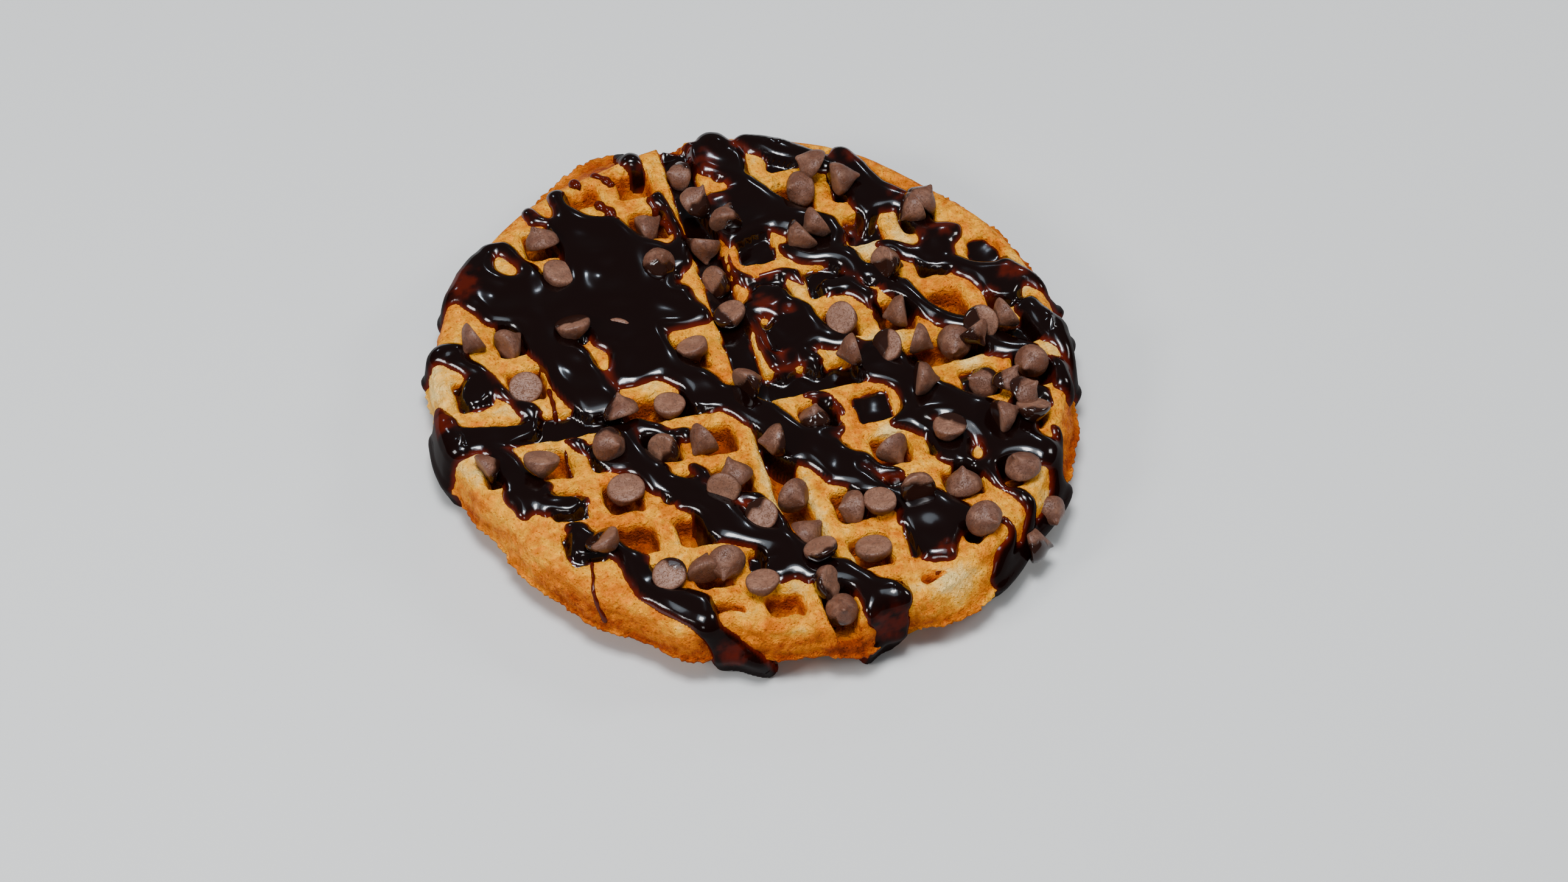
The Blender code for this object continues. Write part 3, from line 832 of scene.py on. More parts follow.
@dataclass
class BakedWaffle:
    """The crust: an upper and a lower half that meet at the seam, each one closed mesh."""

    plan: WafflePlan
    angles_even: int = 720
    exit_span: float = 3.9
    exit_step: float = 0.13
    least_step: float = 0.0012
    lattice_reach: float = 93.0
    outer_step: float = 1.1
    after_groove: float = 0.6
    strip_width: float = 0.9
    lip_half: float = 0.45
    lip_outs: tuple[float, ...] = (0.86, 0.96, 1.0, 0.985)
    lip_bakes: tuple[float, ...] = (0.64, 0.60, 0.66, 0.70)
    lid_sunk: float = 0.3
    lid_shares: tuple[float, float] = (0.8, 0.4)
    lid_bake: float = 0.5
    arc_length: float = 90.0
    under_lip_short: float = 0.35
    lip_waves: Waves = ((0.6, 5.0, 91), (0.4, 1.9, 92))
    wall_waves: Waves = ((0.40, 6.0, 95), (0.22, 2.6, 96))
    bake_waves: Waves = ((0.06, 26.0, 70),)
    side_bake_waves: Waves = ((0.07, 14.0, 99),)
    pale_patches: tuple[tuple[float, float, float, float, float], ...] = (
        (35.0, -75.0, 14.0, 5.0, 0.36), (-84.0, -2.0, 6.0, 4.0, 0.5), (-86.0, 24.0, 5.0, 13.0, 0.4),
        (-62.0, 57.0, 6.0, 6.0, 0.35), (43.0, 43.0, 5.0, 4.0, 0.35), (54.0, 47.0, 5.0, 9.0, 0.35),
        (60.0, -4.0, 4.0, 2.5, 0.4), (31.0, -22.0, 4.0, 3.5, 0.4), (68.0, -52.0, 6.0, 7.0, 0.4),
        (-5.0, -30.0, 2.0, 22.0, 0.3), (5.0, -40.0, 2.0, 20.0, 0.3), (-75.0, -35.0, 10.0, 16.0, 0.12),
        (20.0, 64.0, 6.0, 6.0, 0.2), (60.0, -66.0, 6.0, 5.0, 0.3), (-28.0, 12.0, 4.0, 8.0, 0.25),
        (-73.0, 8.5, 12.0, 3.0, 0.3), (-80.0, -10.0, 6.0, 4.0, 0.3), (81.0, 22.0, 4.0, 8.0, 0.3),
        (84.0, -6.0, 4.0, 8.0, 0.3), (10.0, -62.0, 6.0, 3.0, 0.25), (35.0, 8.5, 12.0, 2.5, 0.3),
    )
    fine_offsets: tuple[float, ...] = (7.75, 7.1, 6.3, 5.75, 5.35, 5.0, 4.6, 4.2, 3.75, 3.2, 2.3, 1.2, 0.0)
    coarse_offsets: tuple[float, ...] = (7.75, 6.6, 5.75, 5.2, 4.6, 4.0, 3.3, 1.7, 0.0)
    fine_groove: tuple[float, ...] = (0.0, 1.1, 2.1, 2.6, 3.0, 3.4, 3.8, 4.2, 4.7, 5.4, 6.4)
    coarse_groove: tuple[float, ...] = (0.0, 1.6, 2.4, 3.1, 3.8, 4.8, 6.2)

    def lines(self, face: Face) -> Array:
        """Places of the lattice's grid lines, close together at pocket and groove walls.

        Args:
            face: Which baked face.

        Returns:
            Lattice places, the same for both directions.
        """
        offsets = np.array(self.fine_offsets if face is Face.TOP else self.coarse_offsets)
        groove = np.array(self.fine_groove if face is Face.TOP else self.coarse_groove)
        cell = np.unique(np.concatenate([offsets, -offsets[1:]]))
        pockets = (self.plan.first_pocket + self.plan.pitch * np.arange(5)[:, None] + cell).ravel()
        beyond = np.arange(pockets.max() + self.outer_step, self.lattice_reach, self.outer_step)
        half = np.concatenate([groove, pockets[pockets > groove.max() + self.after_groove], beyond])
        return np.unique(np.concatenate([-half, half]))

    def angles(self) -> Array:
        """Angles of the side's columns, closer together where the grooves run out.

        Returns:
            The angles in order, from 0 to a full turn.
        """
        plan = self.plan
        even = np.arange(self.angles_even) * 2.0 * math.pi / self.angles_even
        cross_x, cross_y = plan.cross_route
        long_y, long_x = plan.long_route
        exits = [(x[end], y[end]) for x, y in ((cross_x, cross_y), (long_x, long_y)) for end in (0, -1)]
        near = np.radians(np.arange(-self.exit_span, self.exit_span, self.exit_step))
        more = [math.atan2(y - plan.top_centre[1], x - plan.top_centre[0]) + near for x, y in exits]
        every = np.sort(np.concatenate([even, *more]) % (2.0 * math.pi))
        return every[np.concatenate([[True], np.diff(every) > self.least_step])]

    def angle_of(self, x: Array, y: Array) -> Array:
        """Angle of each place round the top's centre, from 0 to a full turn."""
        return np.arctan2(y - self.plan.top_centre[1], x - self.plan.top_centre[0]) % (2.0 * math.pi)

    def paled(self, number: Array, x: Array, y: Array, hold: Any) -> Array:
        """Takes a bell curve off the bake number at each pale patch, as strongly as hold says.

        Args:
            number: The bake number.
            x: X in plan.
            y: Y in plan.
            hold: How much of the paleness takes hold.

        Returns:
            The paler number.
        """
        for *patch, strength in self.pale_patches:
            number = number - strength * bell(x, y, patch) * hold
        return number

    def bake_and_shade_number(self, x: Array, y: Array, sunk: Array, face: Face) -> Array:
        """How baked the crust is, with painted shade and a painted highlight in it: 0 cream, about 0.5
        golden, 1 dark.

        Darker down the pocket walls and on the floors than on the ribs, partly browner bake and partly
        painted shade in the pockets. Paler along the ribs' edges, partly paler crust and partly a
        painted highlight.

        Args:
            x: X in plan.
            y: Y in plan.
            sunk: How far the place is sunk below the ribs, from 0 to 1.
            face: Which baked face.

        Returns:
            The number for each place.
        """
        number = 0.43 + unevenness(x, y, self.bake_waves, face.value)
        # Darker in the pockets and grooves: browner bake and painted shade
        number = number + 0.42 * ease(sunk * 1.6) - 0.20 * ease(sunk * 2.0 - 1.0)
        # Paler along the ribs' edges: paler crust and a painted highlight
        number = number - 0.15 * np.exp(-(((sunk - 0.14) / 0.11) ** 2))
        return self.paled(number, x, y, 1.0 - 0.6 * sunk) if face is Face.TOP else number

    def lattice(self, face: Face) -> tuple[Patch, Array]:
        """The grid that carries ribs, pockets and grooves, inside the start of the shoulder.

        Args:
            face: Upper or lower half.

        Returns:
            The grid's patch, and its faces of four corners.
        """
        plan = self.plan
        lines = self.lines(face)
        s, t = np.meshgrid(lines, lines, indexing="ij")
        x, y = plan.lattice_to_plan(s, t)
        away_x, away_y = x - plan.top_centre[0], y - plan.top_centre[1]
        start = plan.rim_reach(np.arctan2(away_y, away_x)) - plan.set_in(face) - plan.shoulder
        inside = start - self.strip_width - np.hypot(away_x, away_y)
        used, quads = grid_quads(of_corners(inside, np.minimum) > 0.0)
        s, t, x, y = (values.ravel()[used] for values in (s, t, x, y))
        drop = plan.drop(s, t, x, y, face)
        bake = self.bake_and_shade_number(x, y, np.clip(drop / plan.pocket_depth, 0.0, 1.0), face)
        return Patch(x, y, plan.relief(x, y, face) - drop, bake), quads

    def build_half(self, face: Face, name: str, material: Material) -> None:
        """Builds one half.

        A strip joins the lattice's stepped border to rings that go over the shoulder and down the
        side to the seam, and a flat lid closes the half inside.

        Args:
            face: Upper or lower half.
            name: Name of the piece.
            material: Its finish.
        """
        inner, quads = self.lattice(face)
        angles = self.angles()
        side = self.side_rings(angles, face)
        rings, columns = side.x.shape
        first = len(inner.x)
        pole = first + rings * columns
        number = np.arange(first, pole).reshape(rings, columns)
        border = np.unique(border_edges(quads))
        border_angle = self.angle_of(inner.x[border], inner.y[border])
        order = np.argsort(border_angle)
        strip = self.join_strip(border[order], border_angle[order], number[0], angles)
        lid = np.stack([number[-1], np.full(columns, pole), np.roll(number[-1], -1)], -1)
        faces = [quads, ring_quads(number)[:, TURNED], strip, lid]
        x = np.concatenate([inner.x, side.x.ravel(), [self.plan.top_centre[0]]])
        y = np.concatenate([inner.y, side.y.ravel(), [self.plan.top_centre[1]]])
        depth = np.concatenate([inner.depth, side.depth.ravel(), [side.depth[-1, 0]]])
        bake = np.concatenate([inner.bake, side.bake.ravel(), [self.lid_bake]])
        if face is Face.TOP:
            level = self.plan.thickness + depth
        else:
            level = np.maximum(-depth, 0.0)
            faces = [part[:, ::-1] for part in faces]
        make_piece(name, np.stack([x, y, level], -1), faces, material, {"bake": bake})

    def join_strip(self, inner: Array, inner_angle: Array, outer: Array,
                   outer_angle: Array) -> Array:
        """Triangles between two closed rings of different counts, merged in order of angle.

        Args:
            inner: Vertex numbers of the inner ring, in order of angle.
            inner_angle: Their angles.
            outer: Vertex numbers of the outer ring, in order of angle.
            outer_angle: Their angles.

        Returns:
            One row of three vertex numbers for each triangle.
        """
        facing = np.searchsorted(outer_angle, inner_angle, side="right") - 1
        from_inner = np.stack([inner, outer[np.roll(facing, -1)], np.roll(inner, -1)], -1)
        back = np.searchsorted(inner_angle, outer_angle, side="left") - 1
        from_outer = np.stack([inner[np.roll(back, -1)], outer, np.roll(outer, -1)], -1)
        return np.concatenate([from_inner, from_outer])

    def ring_rows(self, angles: Array, face: Face) -> list[tuple[Array, float, float]]:
        """The rings of one half's side: shoulder, wall, lip at the seam and the lid inside.

        The shoulder is a quarter of an ellipse, the wall a straight run with a slight swell, and
        the lip a thin rounded edge whose reach is ragged.

        Args:
            angles: Angle of each column.
            face: Upper or lower half.

        Returns:
            Each ring's places in plan, with X above Y, its depth and its bake number.
        """
        plan = self.plan
        centre = np.array(plan.top_centre)[:, None]
        ways = np.stack([np.cos(angles), np.sin(angles)])
        rim_reach = plan.rim_reach(angles) - plan.set_in(face)
        inner = centre + (rim_reach - plan.shoulder) * ways
        rim = centre + rim_reach * ways
        around = angles * self.arc_length
        ragged = unevenness(around, np.zeros(len(angles)), self.lip_waves)
        ragged = ragged - (self.under_lip_short if face is Face.UNDER else 0.0)
        seam = plan.seam_point(angles).T + ragged * ways
        half = plan.half_height(face)
        lip = half - self.lip_half
        lid = half + self.lid_sunk
        wall_share = plan.wall_share if face is Face.TOP else plan.under_wall_share
        rows = []
        for turn in np.linspace(0.0, 1.0, 7):
            lean = turn * math.pi / 2.0
            depth = plan.shoulder_drop * (1.0 - math.cos(lean))
            rows.append((inner + (rim - inner) * math.sin(lean), depth, 0.41 + 0.06 * turn))
        for share in np.linspace(0.0, 1.0, 10)[1:]:
            arch = math.sin(math.pi * share)
            depth = plan.shoulder_drop + (lip - 0.5 - plan.shoulder_drop) * share
            swell = 0.3 * arch + unevenness(0.5 * around, np.full(len(angles), 9.0 * share), self.wall_waves)
            point = rim + (seam - rim) * (wall_share * share ** 1.1) + swell * ways * arch ** 0.5
            rows.append((point, depth, 0.50 + 0.20 * share))
        lip_depths = (lip - 0.12, lip + 0.08, half - 0.08, lid)
        for out, depth, bake in zip(self.lip_outs, lip_depths, self.lip_bakes):
            rows.append((rim + (seam - rim) * out, depth, bake))
        for share in self.lid_shares:
            rows.append((centre + (seam - centre) * share, lid, self.lid_bake))
        return rows

    def side_rings(self, angles: Array, face: Face) -> Patch:
        """One half's side as rings, with the grooves cut into shoulder and wall.

        Args:
            angles: Angle of each column.
            face: Upper or lower half.

        Returns:
            The side's patch, one row for each ring.
        """
        plan = self.plan
        places, depths, bakes = zip(*self.ring_rows(angles, face))
        x = np.stack([place[0] for place in places])
        y = np.stack([place[1] for place in places])
        plain = np.repeat(-np.array(depths)[:, None], len(angles), axis=1)
        sunk = plan.groove_drop(x, y, unevenness(x, y, plan.wall_waves[:1], face.value))
        relief = plan.relief(x, y, face)
        fade = np.clip(1.0 + plain / plan.shoulder_drop, 0.0, 1.0)
        depth = np.minimum(plain + relief * fade, relief - sunk)
        uncut = len(self.lip_outs) + len(self.lid_shares)
        depth[-uncut:] = plain[-uncut:]
        bake = np.array(bakes)[:, None] + unevenness(x, y + 3.0 * depth, self.side_bake_waves, face.value)
        if face is Face.TOP:
            bake = self.paled(bake, x, y, 1.0)
        # Darker where the grooves cut the side: browner bake and painted shade
        return Patch(x, y, depth, bake + 0.14 * ease(sunk / 6.0))

    def build(self, crust: Material) -> None:
        """Builds both halves."""
        self.build_half(Face.TOP, "waffle_upper", crust)
        self.build_half(Face.UNDER, "waffle_lower", crust)


# Sauce

# Outlines of the poured pools on the rolled-out sheet. Points past the rim lie down the side
SAUCE_POOLS: tuple[Outline, ...] = (
    # Rear left pool
    ((-98, 62), (-80, 50.5), (-74, 50), (-72, 46.5), (-70, 44.5), (-68.5, 41), (-66, 38.5), (-62, 36.5),
     (-60, 33), (-60, 28), (-57, 24), (-56, 20), (-55, 15), (-53, 10), (-51, 4), (-50, 0), (-36, 0),
     (-38, 7), (-40, 13), (-41.5, 18), (-42, 22), (-44, 26), (-45, 28.5), (-43, 31), (-40, 26),
     (-36.5, 22), (-37.5, 18), (-38, 14), (-37, 10), (-33, 9), (-29, 10), (-25, 10.5), (-22, 6.5),
     (-20, 3), (-20, -2), (-2, -3), (-3, 1), (-6, 1), (-9, 4), (-11, 8), (-14, 13), (-18, 18), (-20, 22),
     (-21, 26), (-12, 26), (-6, 26.5), (-5, 30), (-7, 32), (-9, 36), (-11, 42), (-10, 46.5), (-7, 48),
     (-5, 57), (-9, 58), (-12, 55.5), (-15, 58), (-18, 60.5), (-21, 65), (-24, 69), (-26, 70.5),
     (-30, 71), (-33, 72.5), (-36, 77), (-36.5, 81), (-38.5, 84), (-41.5, 82.5), (-41, 78), (-41, 72),
     (-44, 73), (-46.5, 77), (-48, 79.5), (-50, 77), (-48.5, 72.5), (-44, 70), (-43.5, 62), (-42.5, 58),
     (-42, 53), (-43, 49), (-46, 49.5), (-48, 53), (-50, 56.5), (-53, 60), (-55, 64.5), (-57, 67.5),
     (-62, 67.5), (-66, 66.5), (-83, 82)),
    # Left end
    ((-110, -8), (-111, 14), (-97, 15), (-91, 14), (-89, 16.5), (-87, 15), (-85, 11), (-83, 8), (-84, 6),
     (-78, 5), (-70, 4), (-64, 3), (-60, 2), (-60, -3), (-70, -3.5), (-80, -4), (-91, -5), (-97, -7)),
    # Front left bands
    ((-80, -1), (-74, -2.3), (-71, -5), (-69, -9), (-68, -12.5), (-66, -15), (-62, -19), (-64.5, -24),
     (-65, -25.5), (-64.5, -28), (-65.4, -29.3), (-67, -27.5), (-68.5, -26.3), (-70, -28), (-71.3, -29.3),
     (-73, -28.5), (-73.5, -25), (-75.5, -22.5), (-75.5, -20), (-74.5, -18), (-75.5, -15.5), (-77, -13),
     (-77, -6), (-79, -3)),
    ((-61, -32.5), (-58.5, -33), (-56.5, -34.5), (-55, -36.5), (-53.5, -38.5), (-50.5, -39.5), (-48, -41),
     (-46.5, -44), (-45, -45.3), (-42, -46), (-40.7, -47.5), (-43, -48.5), (-42.5, -52), (-41.5, -54),
     (-39, -58), (-38, -60.5), (-34.5, -61.8), (-31.5, -63.5), (-29.5, -65.5), (-28.7, -68), (-29, -71),
     (-29.3, -73), (-28, -75.5), (-25.5, -78.5), (-24, -82.5), (-21.5, -86), (-19.5, -90), (-17, -106),
     (-37, -104), (-34.8, -88), (-33.4, -85), (-33.4, -80.5), (-34, -76.5), (-35.7, -73.4), (-39, -70.5),
     (-41.5, -68), (-44, -65), (-45.5, -63), (-47.5, -60.5), (-48.8, -56), (-49.5, -52), (-50.3, -48.5),
     (-52, -46), (-56, -45.5), (-60, -47), (-62.5, -45), (-63, -41), (-61.5, -39), (-61.5, -36.5)),
    ((-58, -2), (-54, -3.5), (-50.5, -6.5), (-49, -9.5), (-47.5, -9), (-47, -6), (-46.9, -2.8), (-36, -3),
     (-37.5, -4), (-35.7, -11), (-33.5, -14.5), (-31.6, -17.5), (-30.4, -20.5), (-30.3, -22.8), (-28, -24),
     (-25.1, -25.8), (-22.5, -28.5), (-19.8, -31.6), (-16.9, -35.2), (-14.5, -38.7), (-12.2, -42.2),
     (-10.5, -45.5), (-7.5, -47), (-4, -48.2), (-1.6, -50.5), (1, -54.6), (2.5, -57), (5.2, -59.3),
     (8.1, -61.6), (11.6, -64), (14, -67), (15.2, -69.9), (19.9, -71), (22.2, -72.8), (22.8, -75.8),
     (22.2, -79.3), (20.5, -80.2), (21.6, -82.2), (22.8, -85.8), (23, -90), (24, -106), (12, -106),
     (12.2, -90), (13, -86), (11, -83.5), (9.9, -80), (9.6, -75.2), (8.1, -71.6), (3, -69), (-2.5, -67),
     (-4.5, -64.2), (-7.5, -64.5), (-9.8, -65.5), (-12.5, -64), (-14, -61.5), (-16, -59.3), (-13.5, -57.7),
     (-10.5, -56.5), (-12.8, -54), (-15.7, -51.7), (-18.6, -49.9), (-21.5, -48.8), (-25.1, -47),
     (-27, -44.5), (-26, -42.8), (-26, -39.5), (-27.5, -37.5), (-30.5, -34.5), (-32.8, -31.6), (-34, -29.5),
     (-36, -28.5), (-37, -27), (-38.6, -24), (-39.8, -21), (-41.6, -19.3), (-45.1, -18.9), (-48, -17.5),
     (-49.8, -14.6), (-51.5, -10.5), (-54.5, -6.5)),
    # Front right bands
    ((-20, 3.5), (-20, -3.7), (-11, -4.6), (-8.5, -7.5), (-6.3, -10.5), (-4, -14), (-3, -16), (-1, -25),
     (1.6, -27.5), (3.4, -28.7), (5.5, -27.5), (7.5, -29.5), (9.3, -32.2), (11, -36.4), (14, -37.5),
     (16.5, -39.5), (15.5, -42), (18, -43.5), (24, -44), (27, -50), (26, -53.5), (27, -54.8), (28, -57.5),
     (28, -62), (28.7, -65.8), (31.6, -67.7), (34.6, -68), (37.5, -68.8), (38.7, -65.2), (40, -62.2),
     (42, -60.5), (46, -58.8), (52.8, -59), (55, -61), (54.5, -65), (51.6, -67), (50.8, -70.5),
     (49.9, -75.8), (56, -72), (58, -66), (57, -62.2), (55.2, -58.7), (52.8, -56.4), (49.9, -55.8),
     (47, -53.4), (44, -50.5), (41, -46.4), (36.4, -43.4), (32.8, -39.9), (31.6, -36.9), (28.7, -34),
     (26.6, -30.8), (23.4, -29.3), (20.5, -26.9), (17.5, -22.8), (14.9, -20.5), (19.5, -19.5), (20, -14.8),
     (10.2, -16.6), (8.4, -14.3), (5.2, -9.9), (3.4, -5.2), (0, -3), (-2, 3)),
    ((27.5, -3.7), (31.6, -4.6), (34.6, -6.4), (37, -8.7), (37.8, -12.2), (37.5, -15.8), (35.5, -17.3),
     (32.8, -18.9), (33, -21), (35.2, -22.2), (37.5, -24), (40.5, -26.9), (41.5, -31), (41.9, -34.6),
     (44, -36.4), (45.2, -40.5), (48.7, -41), (52.8, -44), (55.8, -48.1), (59.3, -52.8), (61, -56.4),
     (61.6, -59.3), (61.4, -62.8), (62.8, -65), (64.6, -67.5), (68, -68), (67, -63.4), (66.4, -59.3),
     (64.6, -56.4), (62.8, -52.8), (60.5, -49.5), (57.5, -45.2), (57, -42), (58, -40.5), (61, -40),
     (65, -40.5), (68, -42.5), (72, -44), (73, -48), (78, -52), (91, -56), (89, -50), (78, -44.6),
     (78, -40.5), (78.7, -35.2), (78, -32.2), (76, -30.8), (74.8, -31.5), (76, -34), (76.5, -37),
     (74, -36.4), (71.6, -34), (69.9, -30.5), (67.5, -29.3), (64.6, -25.8), (63.4, -21.6), (62.2, -19.3),
     (59.3, -16.9), (56.4, -14.6), (52.8, -12.2), (49.9, -9.3), (48.1, -5.8), (45.8, -2.8), (44, 0.7),
     (43, 5), (40, 8.5), (31, 8.5), (28, 5)),
    ((49.9, -75.8), (59, -89), (70, -81), (82, -70), (92, -57), (78, -44.6), (73.5, -48), (72.5, -54),
     (68, -61), (63, -66), (57, -68), (53, -67), (50.8, -70.5)),
    ((63.4, -2.8), (69.3, -4.6), (72.2, -5.8), (78.7, -6.6), (79.3, -4), (77.5, -1.6), (74, -0.5), (72, 0.7),
     (64, 1)),
    # Rear right bands
    ((1, 92), (6, 91), (7.5, 88.5), (16, 87), (16.6, 80), (15.5, 77), (17, 75.5), (18, 73), (21.6, 68.6),
     (24.6, 66.3), (26, 62.8), (29.3, 60.4), (32.2, 57.5), (36.4, 55.1), (37.2, 51.6), (38.7, 49.5),
     (36, 46), (35.2, 44.5), (37.5, 43.2), (39.3, 39.8), (41, 36.5), (39.3, 31.6), (36.4, 31.6),
     (34.6, 34.5), (32.2, 37.5), (29.3, 39.2), (25.8, 39.8), (22.2, 42.2), (19.3, 45), (17, 48), (16.5, 50.5),
     (15, 54.5), (8, 51.8), (5.5, 51), (3.5, 53.5), (2, 56), (0, 62), (-2, 70), (2, 72), (10, 72), (11, 74),
     (5, 79), (2, 80), (1, 84)),
    ((42, 81), (46, 80.3), (47.2, 76.3), (49.3, 72.8), (50.5, 69.2), (52.8, 65.1), (56.4, 61.6),
     (59.9, 58.1), (62, 56.9), (63.4, 51), (62.8, 46.9), (66, 46.3), (70, 44), (69, 40), (65.5, 38.5),
     (66, 35.5), (64.6, 34.5), (68, 31.6), (72, 30), (76.4, 28.5), (79, 31.5), (80.5, 28), (82.2, 25.7),
     (85.8, 22.2), (88.7, 19.8), (89.9, 16.9), (105, 21), (105, 15), (86, 16), (83, 20), (80.5, 18.5),
     (79, 15), (76.4, 14.2), (72.2, 15.1), (69.3, 16.9), (69.3, 21), (66.9, 24.5), (63.4, 28), (59.9, 29.8),
     (55.8, 30.1), (54, 33.3), (50.5, 36.3), (47, 39.2), (45.2, 41.6), (45.2, 44.8), (50.5, 42.3),
     (53.5, 40.2), (57.5, 39.5), (58.1, 42.2), (57, 45.5), (55, 46.5), (54.9, 52.2), (53.4, 54.8),
     (47.5, 54.5), (47, 50), (45, 45.2), (39, 48.5), (42.2, 51.6), (42.8, 55.7), (41.6, 59.8), (40.5, 62.8),
     (38.5, 66), (40.5, 71.6), (42.8, 72.8), (41.9, 76.3)),
    ((6, 35.5), (16.5, 35), (17.3, 30), (20.5, 26.3), (22.2, 22.2), (24.6, 18), (30.5, 13.4), (31.6, 9.8),
     (33, 7.5), (28, 8), (24, 9), (20, 11.5), (17, 10.6), (11, 10), (9, 12), (7.5, 16.9), (3, 20), (0, 22),
     (0, 28), (3, 31), (5.5, 30.5)),
)

# Bare crust inside the pools
SAUCE_GAPS: tuple[Outline, ...] = (
    ((-62, 64.5), (-60, 65), (-57, 61), (-55, 58), (-55, 55), (-57, 54.5), (-60, 56), (-62, 58.5)),
    ((-6, 30), (-8, 37), (-10, 42), (-11.5, 46.5), (-13, 47), (-12.5, 44), (-14, 41), (-10, 40), (-9.5, 34),
     (-7, 31)),
    ((21, -32), (22.8, -33.5), (22.5, -35.3), (21, -34)),
    ((23.5, -35), (26, -36.5), (28, -38), (30.5, -40), (30, -41.5), (27.5, -41.3), (25, -39), (23, -36.5)),
    ((42.5, -22), (44, -21), (47, -21.3), (49, -22.5), (46, -23.7), (43, -23.5)),
    ((51, -27.5), (53, -29), (55, -32), (55.5, -36), (54, -38.5), (51.5, -38.3), (50.5, -36), (52, -33),
     (52, -30)),
    ((44.6, -51), (50, -50), (53, -48.5), (56, -49.5), (59, -53), (61.2, -57), (61.3, -62.5), (59, -66),
     (57, -62.5), (54, -58), (50, -56), (47, -53.5)),
    ((63, -50), (66, -49), (68, -46), (71.5, -44), (72.5, -47.5), (71.6, -51.5), (70.3, -56), (67, -59),
     (65.5, -57), (63.5, -53)),
    ((15.2, 54.5), (17.5, 55.5), (21.6, 52.5), (21.6, 48), (19.5, 48), (17, 50.5)),
    ((3, 78), (10, 72.6), (4, 71.5)),
    ((4.6, 25.7), (8, 25), (10.8, 22.5), (9.5, 20.6), (6.5, 20.8), (5, 23)),
    ((13.2, 26), (16.3, 26.2), (16.5, 23), (14, 23.5)),
)

# Narrower strokes: places along each one with the half width there
SAUCE_STROKES: tuple[Stroke, ...] = (
    ((-80, 28.6, 1.6), (-77.5, 27.5, 2), (-74.5, 24, 2.2), (-72, 21, 2)),
    ((-76.5, 18, 4), (-76.5, 14, 4)),
    ((-72, 20, 2), (-70, 16, 2), (-65.5, 12, 2), (-63, 7, 2.2), (-61, 3, 2.4)),
    ((-105, 38, 2), (-95, 36, 2.4), (-87, 33, 2.6), (-78, 32, 2.6)),
    ((-64, -26, 3.6), (-57, -27, 3.6)),
    ((-35, -3, 3), (-32, -7, 2.6), (-28, -11, 2.4), (-22, -11, 2)),
    ((-23.5, -22, 1), (-21.5, -26, 1.6), (-18, -29, 1.8), (-15, -33, 2), (-10, -37, 2.2), (-7, -42, 2.2),
     (-4, -47, 2.5)),
    ((13, -4, 2), (17, -8, 2), (19, -13, 2)),
    ((61, -8, 2), (66, -12, 2.2), (71, -15, 2.4), (75, -19, 2.2), (75.5, -23, 2)),
    ((70, -23, 4.4), (68, -28, 3.6)),
    ((80, -8, 1.8), (82, -12, 2.2), (83, -17, 2.2), (86, -20, 2.4)),
    ((85, 2, 3), (88, -4, 3), (90, -12, 3), (100, -16, 2.6)),
    ((18, 90, 2), (22, 87, 3), (26, 83.5, 4), (31, 80.5, 3.5), (36, 77, 2.8), (40, 73.5, 2.2)),
    ((42, 34, 3.5), (47, 26, 3.2), (51, 19, 3), (57, 12.5, 3), (63, 8, 3), (68, 2, 4), (74, -3, 4)),
    ((39.5, 20, 1.5), (39.5, 13, 1.5)),
    ((28, 31, 4.2), (34, 30, 2), (37.5, 26, 1.8), (39, 21.5, 1.2)),
    ((4, 17, 1.2), (6, 10, 1.4), (7.5, 3, 1.8), (8, 0, 1.8)),
    ((11.5, 10, 1.2), (11, 5, 1), (10.5, 1, 1.4)),
    ((15, 10, 1.4), (17, 6, 2), (18, 2, 3)),
    ((2, 48.5, 1.6), (2, 43, 1.6), (4, 39.5, 1.7), (8, 37, 1.6), (11, 37, 1.6)),
    ((11, 38.5, 1.4), (17, 38.8, 1.4), (20.5, 37, 1.3), (22.5, 33.5, 1)),
    ((80, 12, 3), (82, 6, 4), (84, 2, 4), (90, 3, 3), (105, 5, 3)),
    ((10, 88, 3.4), (9, 93, 3.4), (8, 102, 3), (8, 110, 3)),
    ((-63, 67, 1.5), (-59, 64, 2), (-55, 58, 2), (-53, 54, 2)),
    ((-16, 104, 1.8), (-16, 96, 2.2), (-16, 90, 2.4), (-14.5, 86, 1.8)),
    ((-12, 76, 1.6), (-10, 68, 1.6), (-7, 58, 1.6)),
    ((32, 32, 2.5), (36, 27, 2), (38, 23, 1.5)),
)

# Thin threads that lie on the crust, with the half width at each place
THREADS: tuple[Stroke, ...] = (
    ((-56, 14, 0.7), (-56, 3, 0.7)),
    ((-56, -8, 0.5), (-56, -13, 0.5), (-56, -18, 0.9)),
    ((-57, -46, 0.5), (-58, -52, 0.5), (-59, -57, 0.6), (-60, -62, 0.8), (-61, -66, 1.0)),
    ((-34, 87, 1.2), (-32, 83, 1.9)),
    ((-28, 88, 0.8), (-25, 85, 1.0), (-22.5, 81, 1.7)),
    ((-29, 76, 1.3), (-26, 72, 1.7), (-24.5, 67, 1.7)),
    ((-14, 75, 1.0), (-12, 68, 1.2), (-10, 60, 1.0)),
)


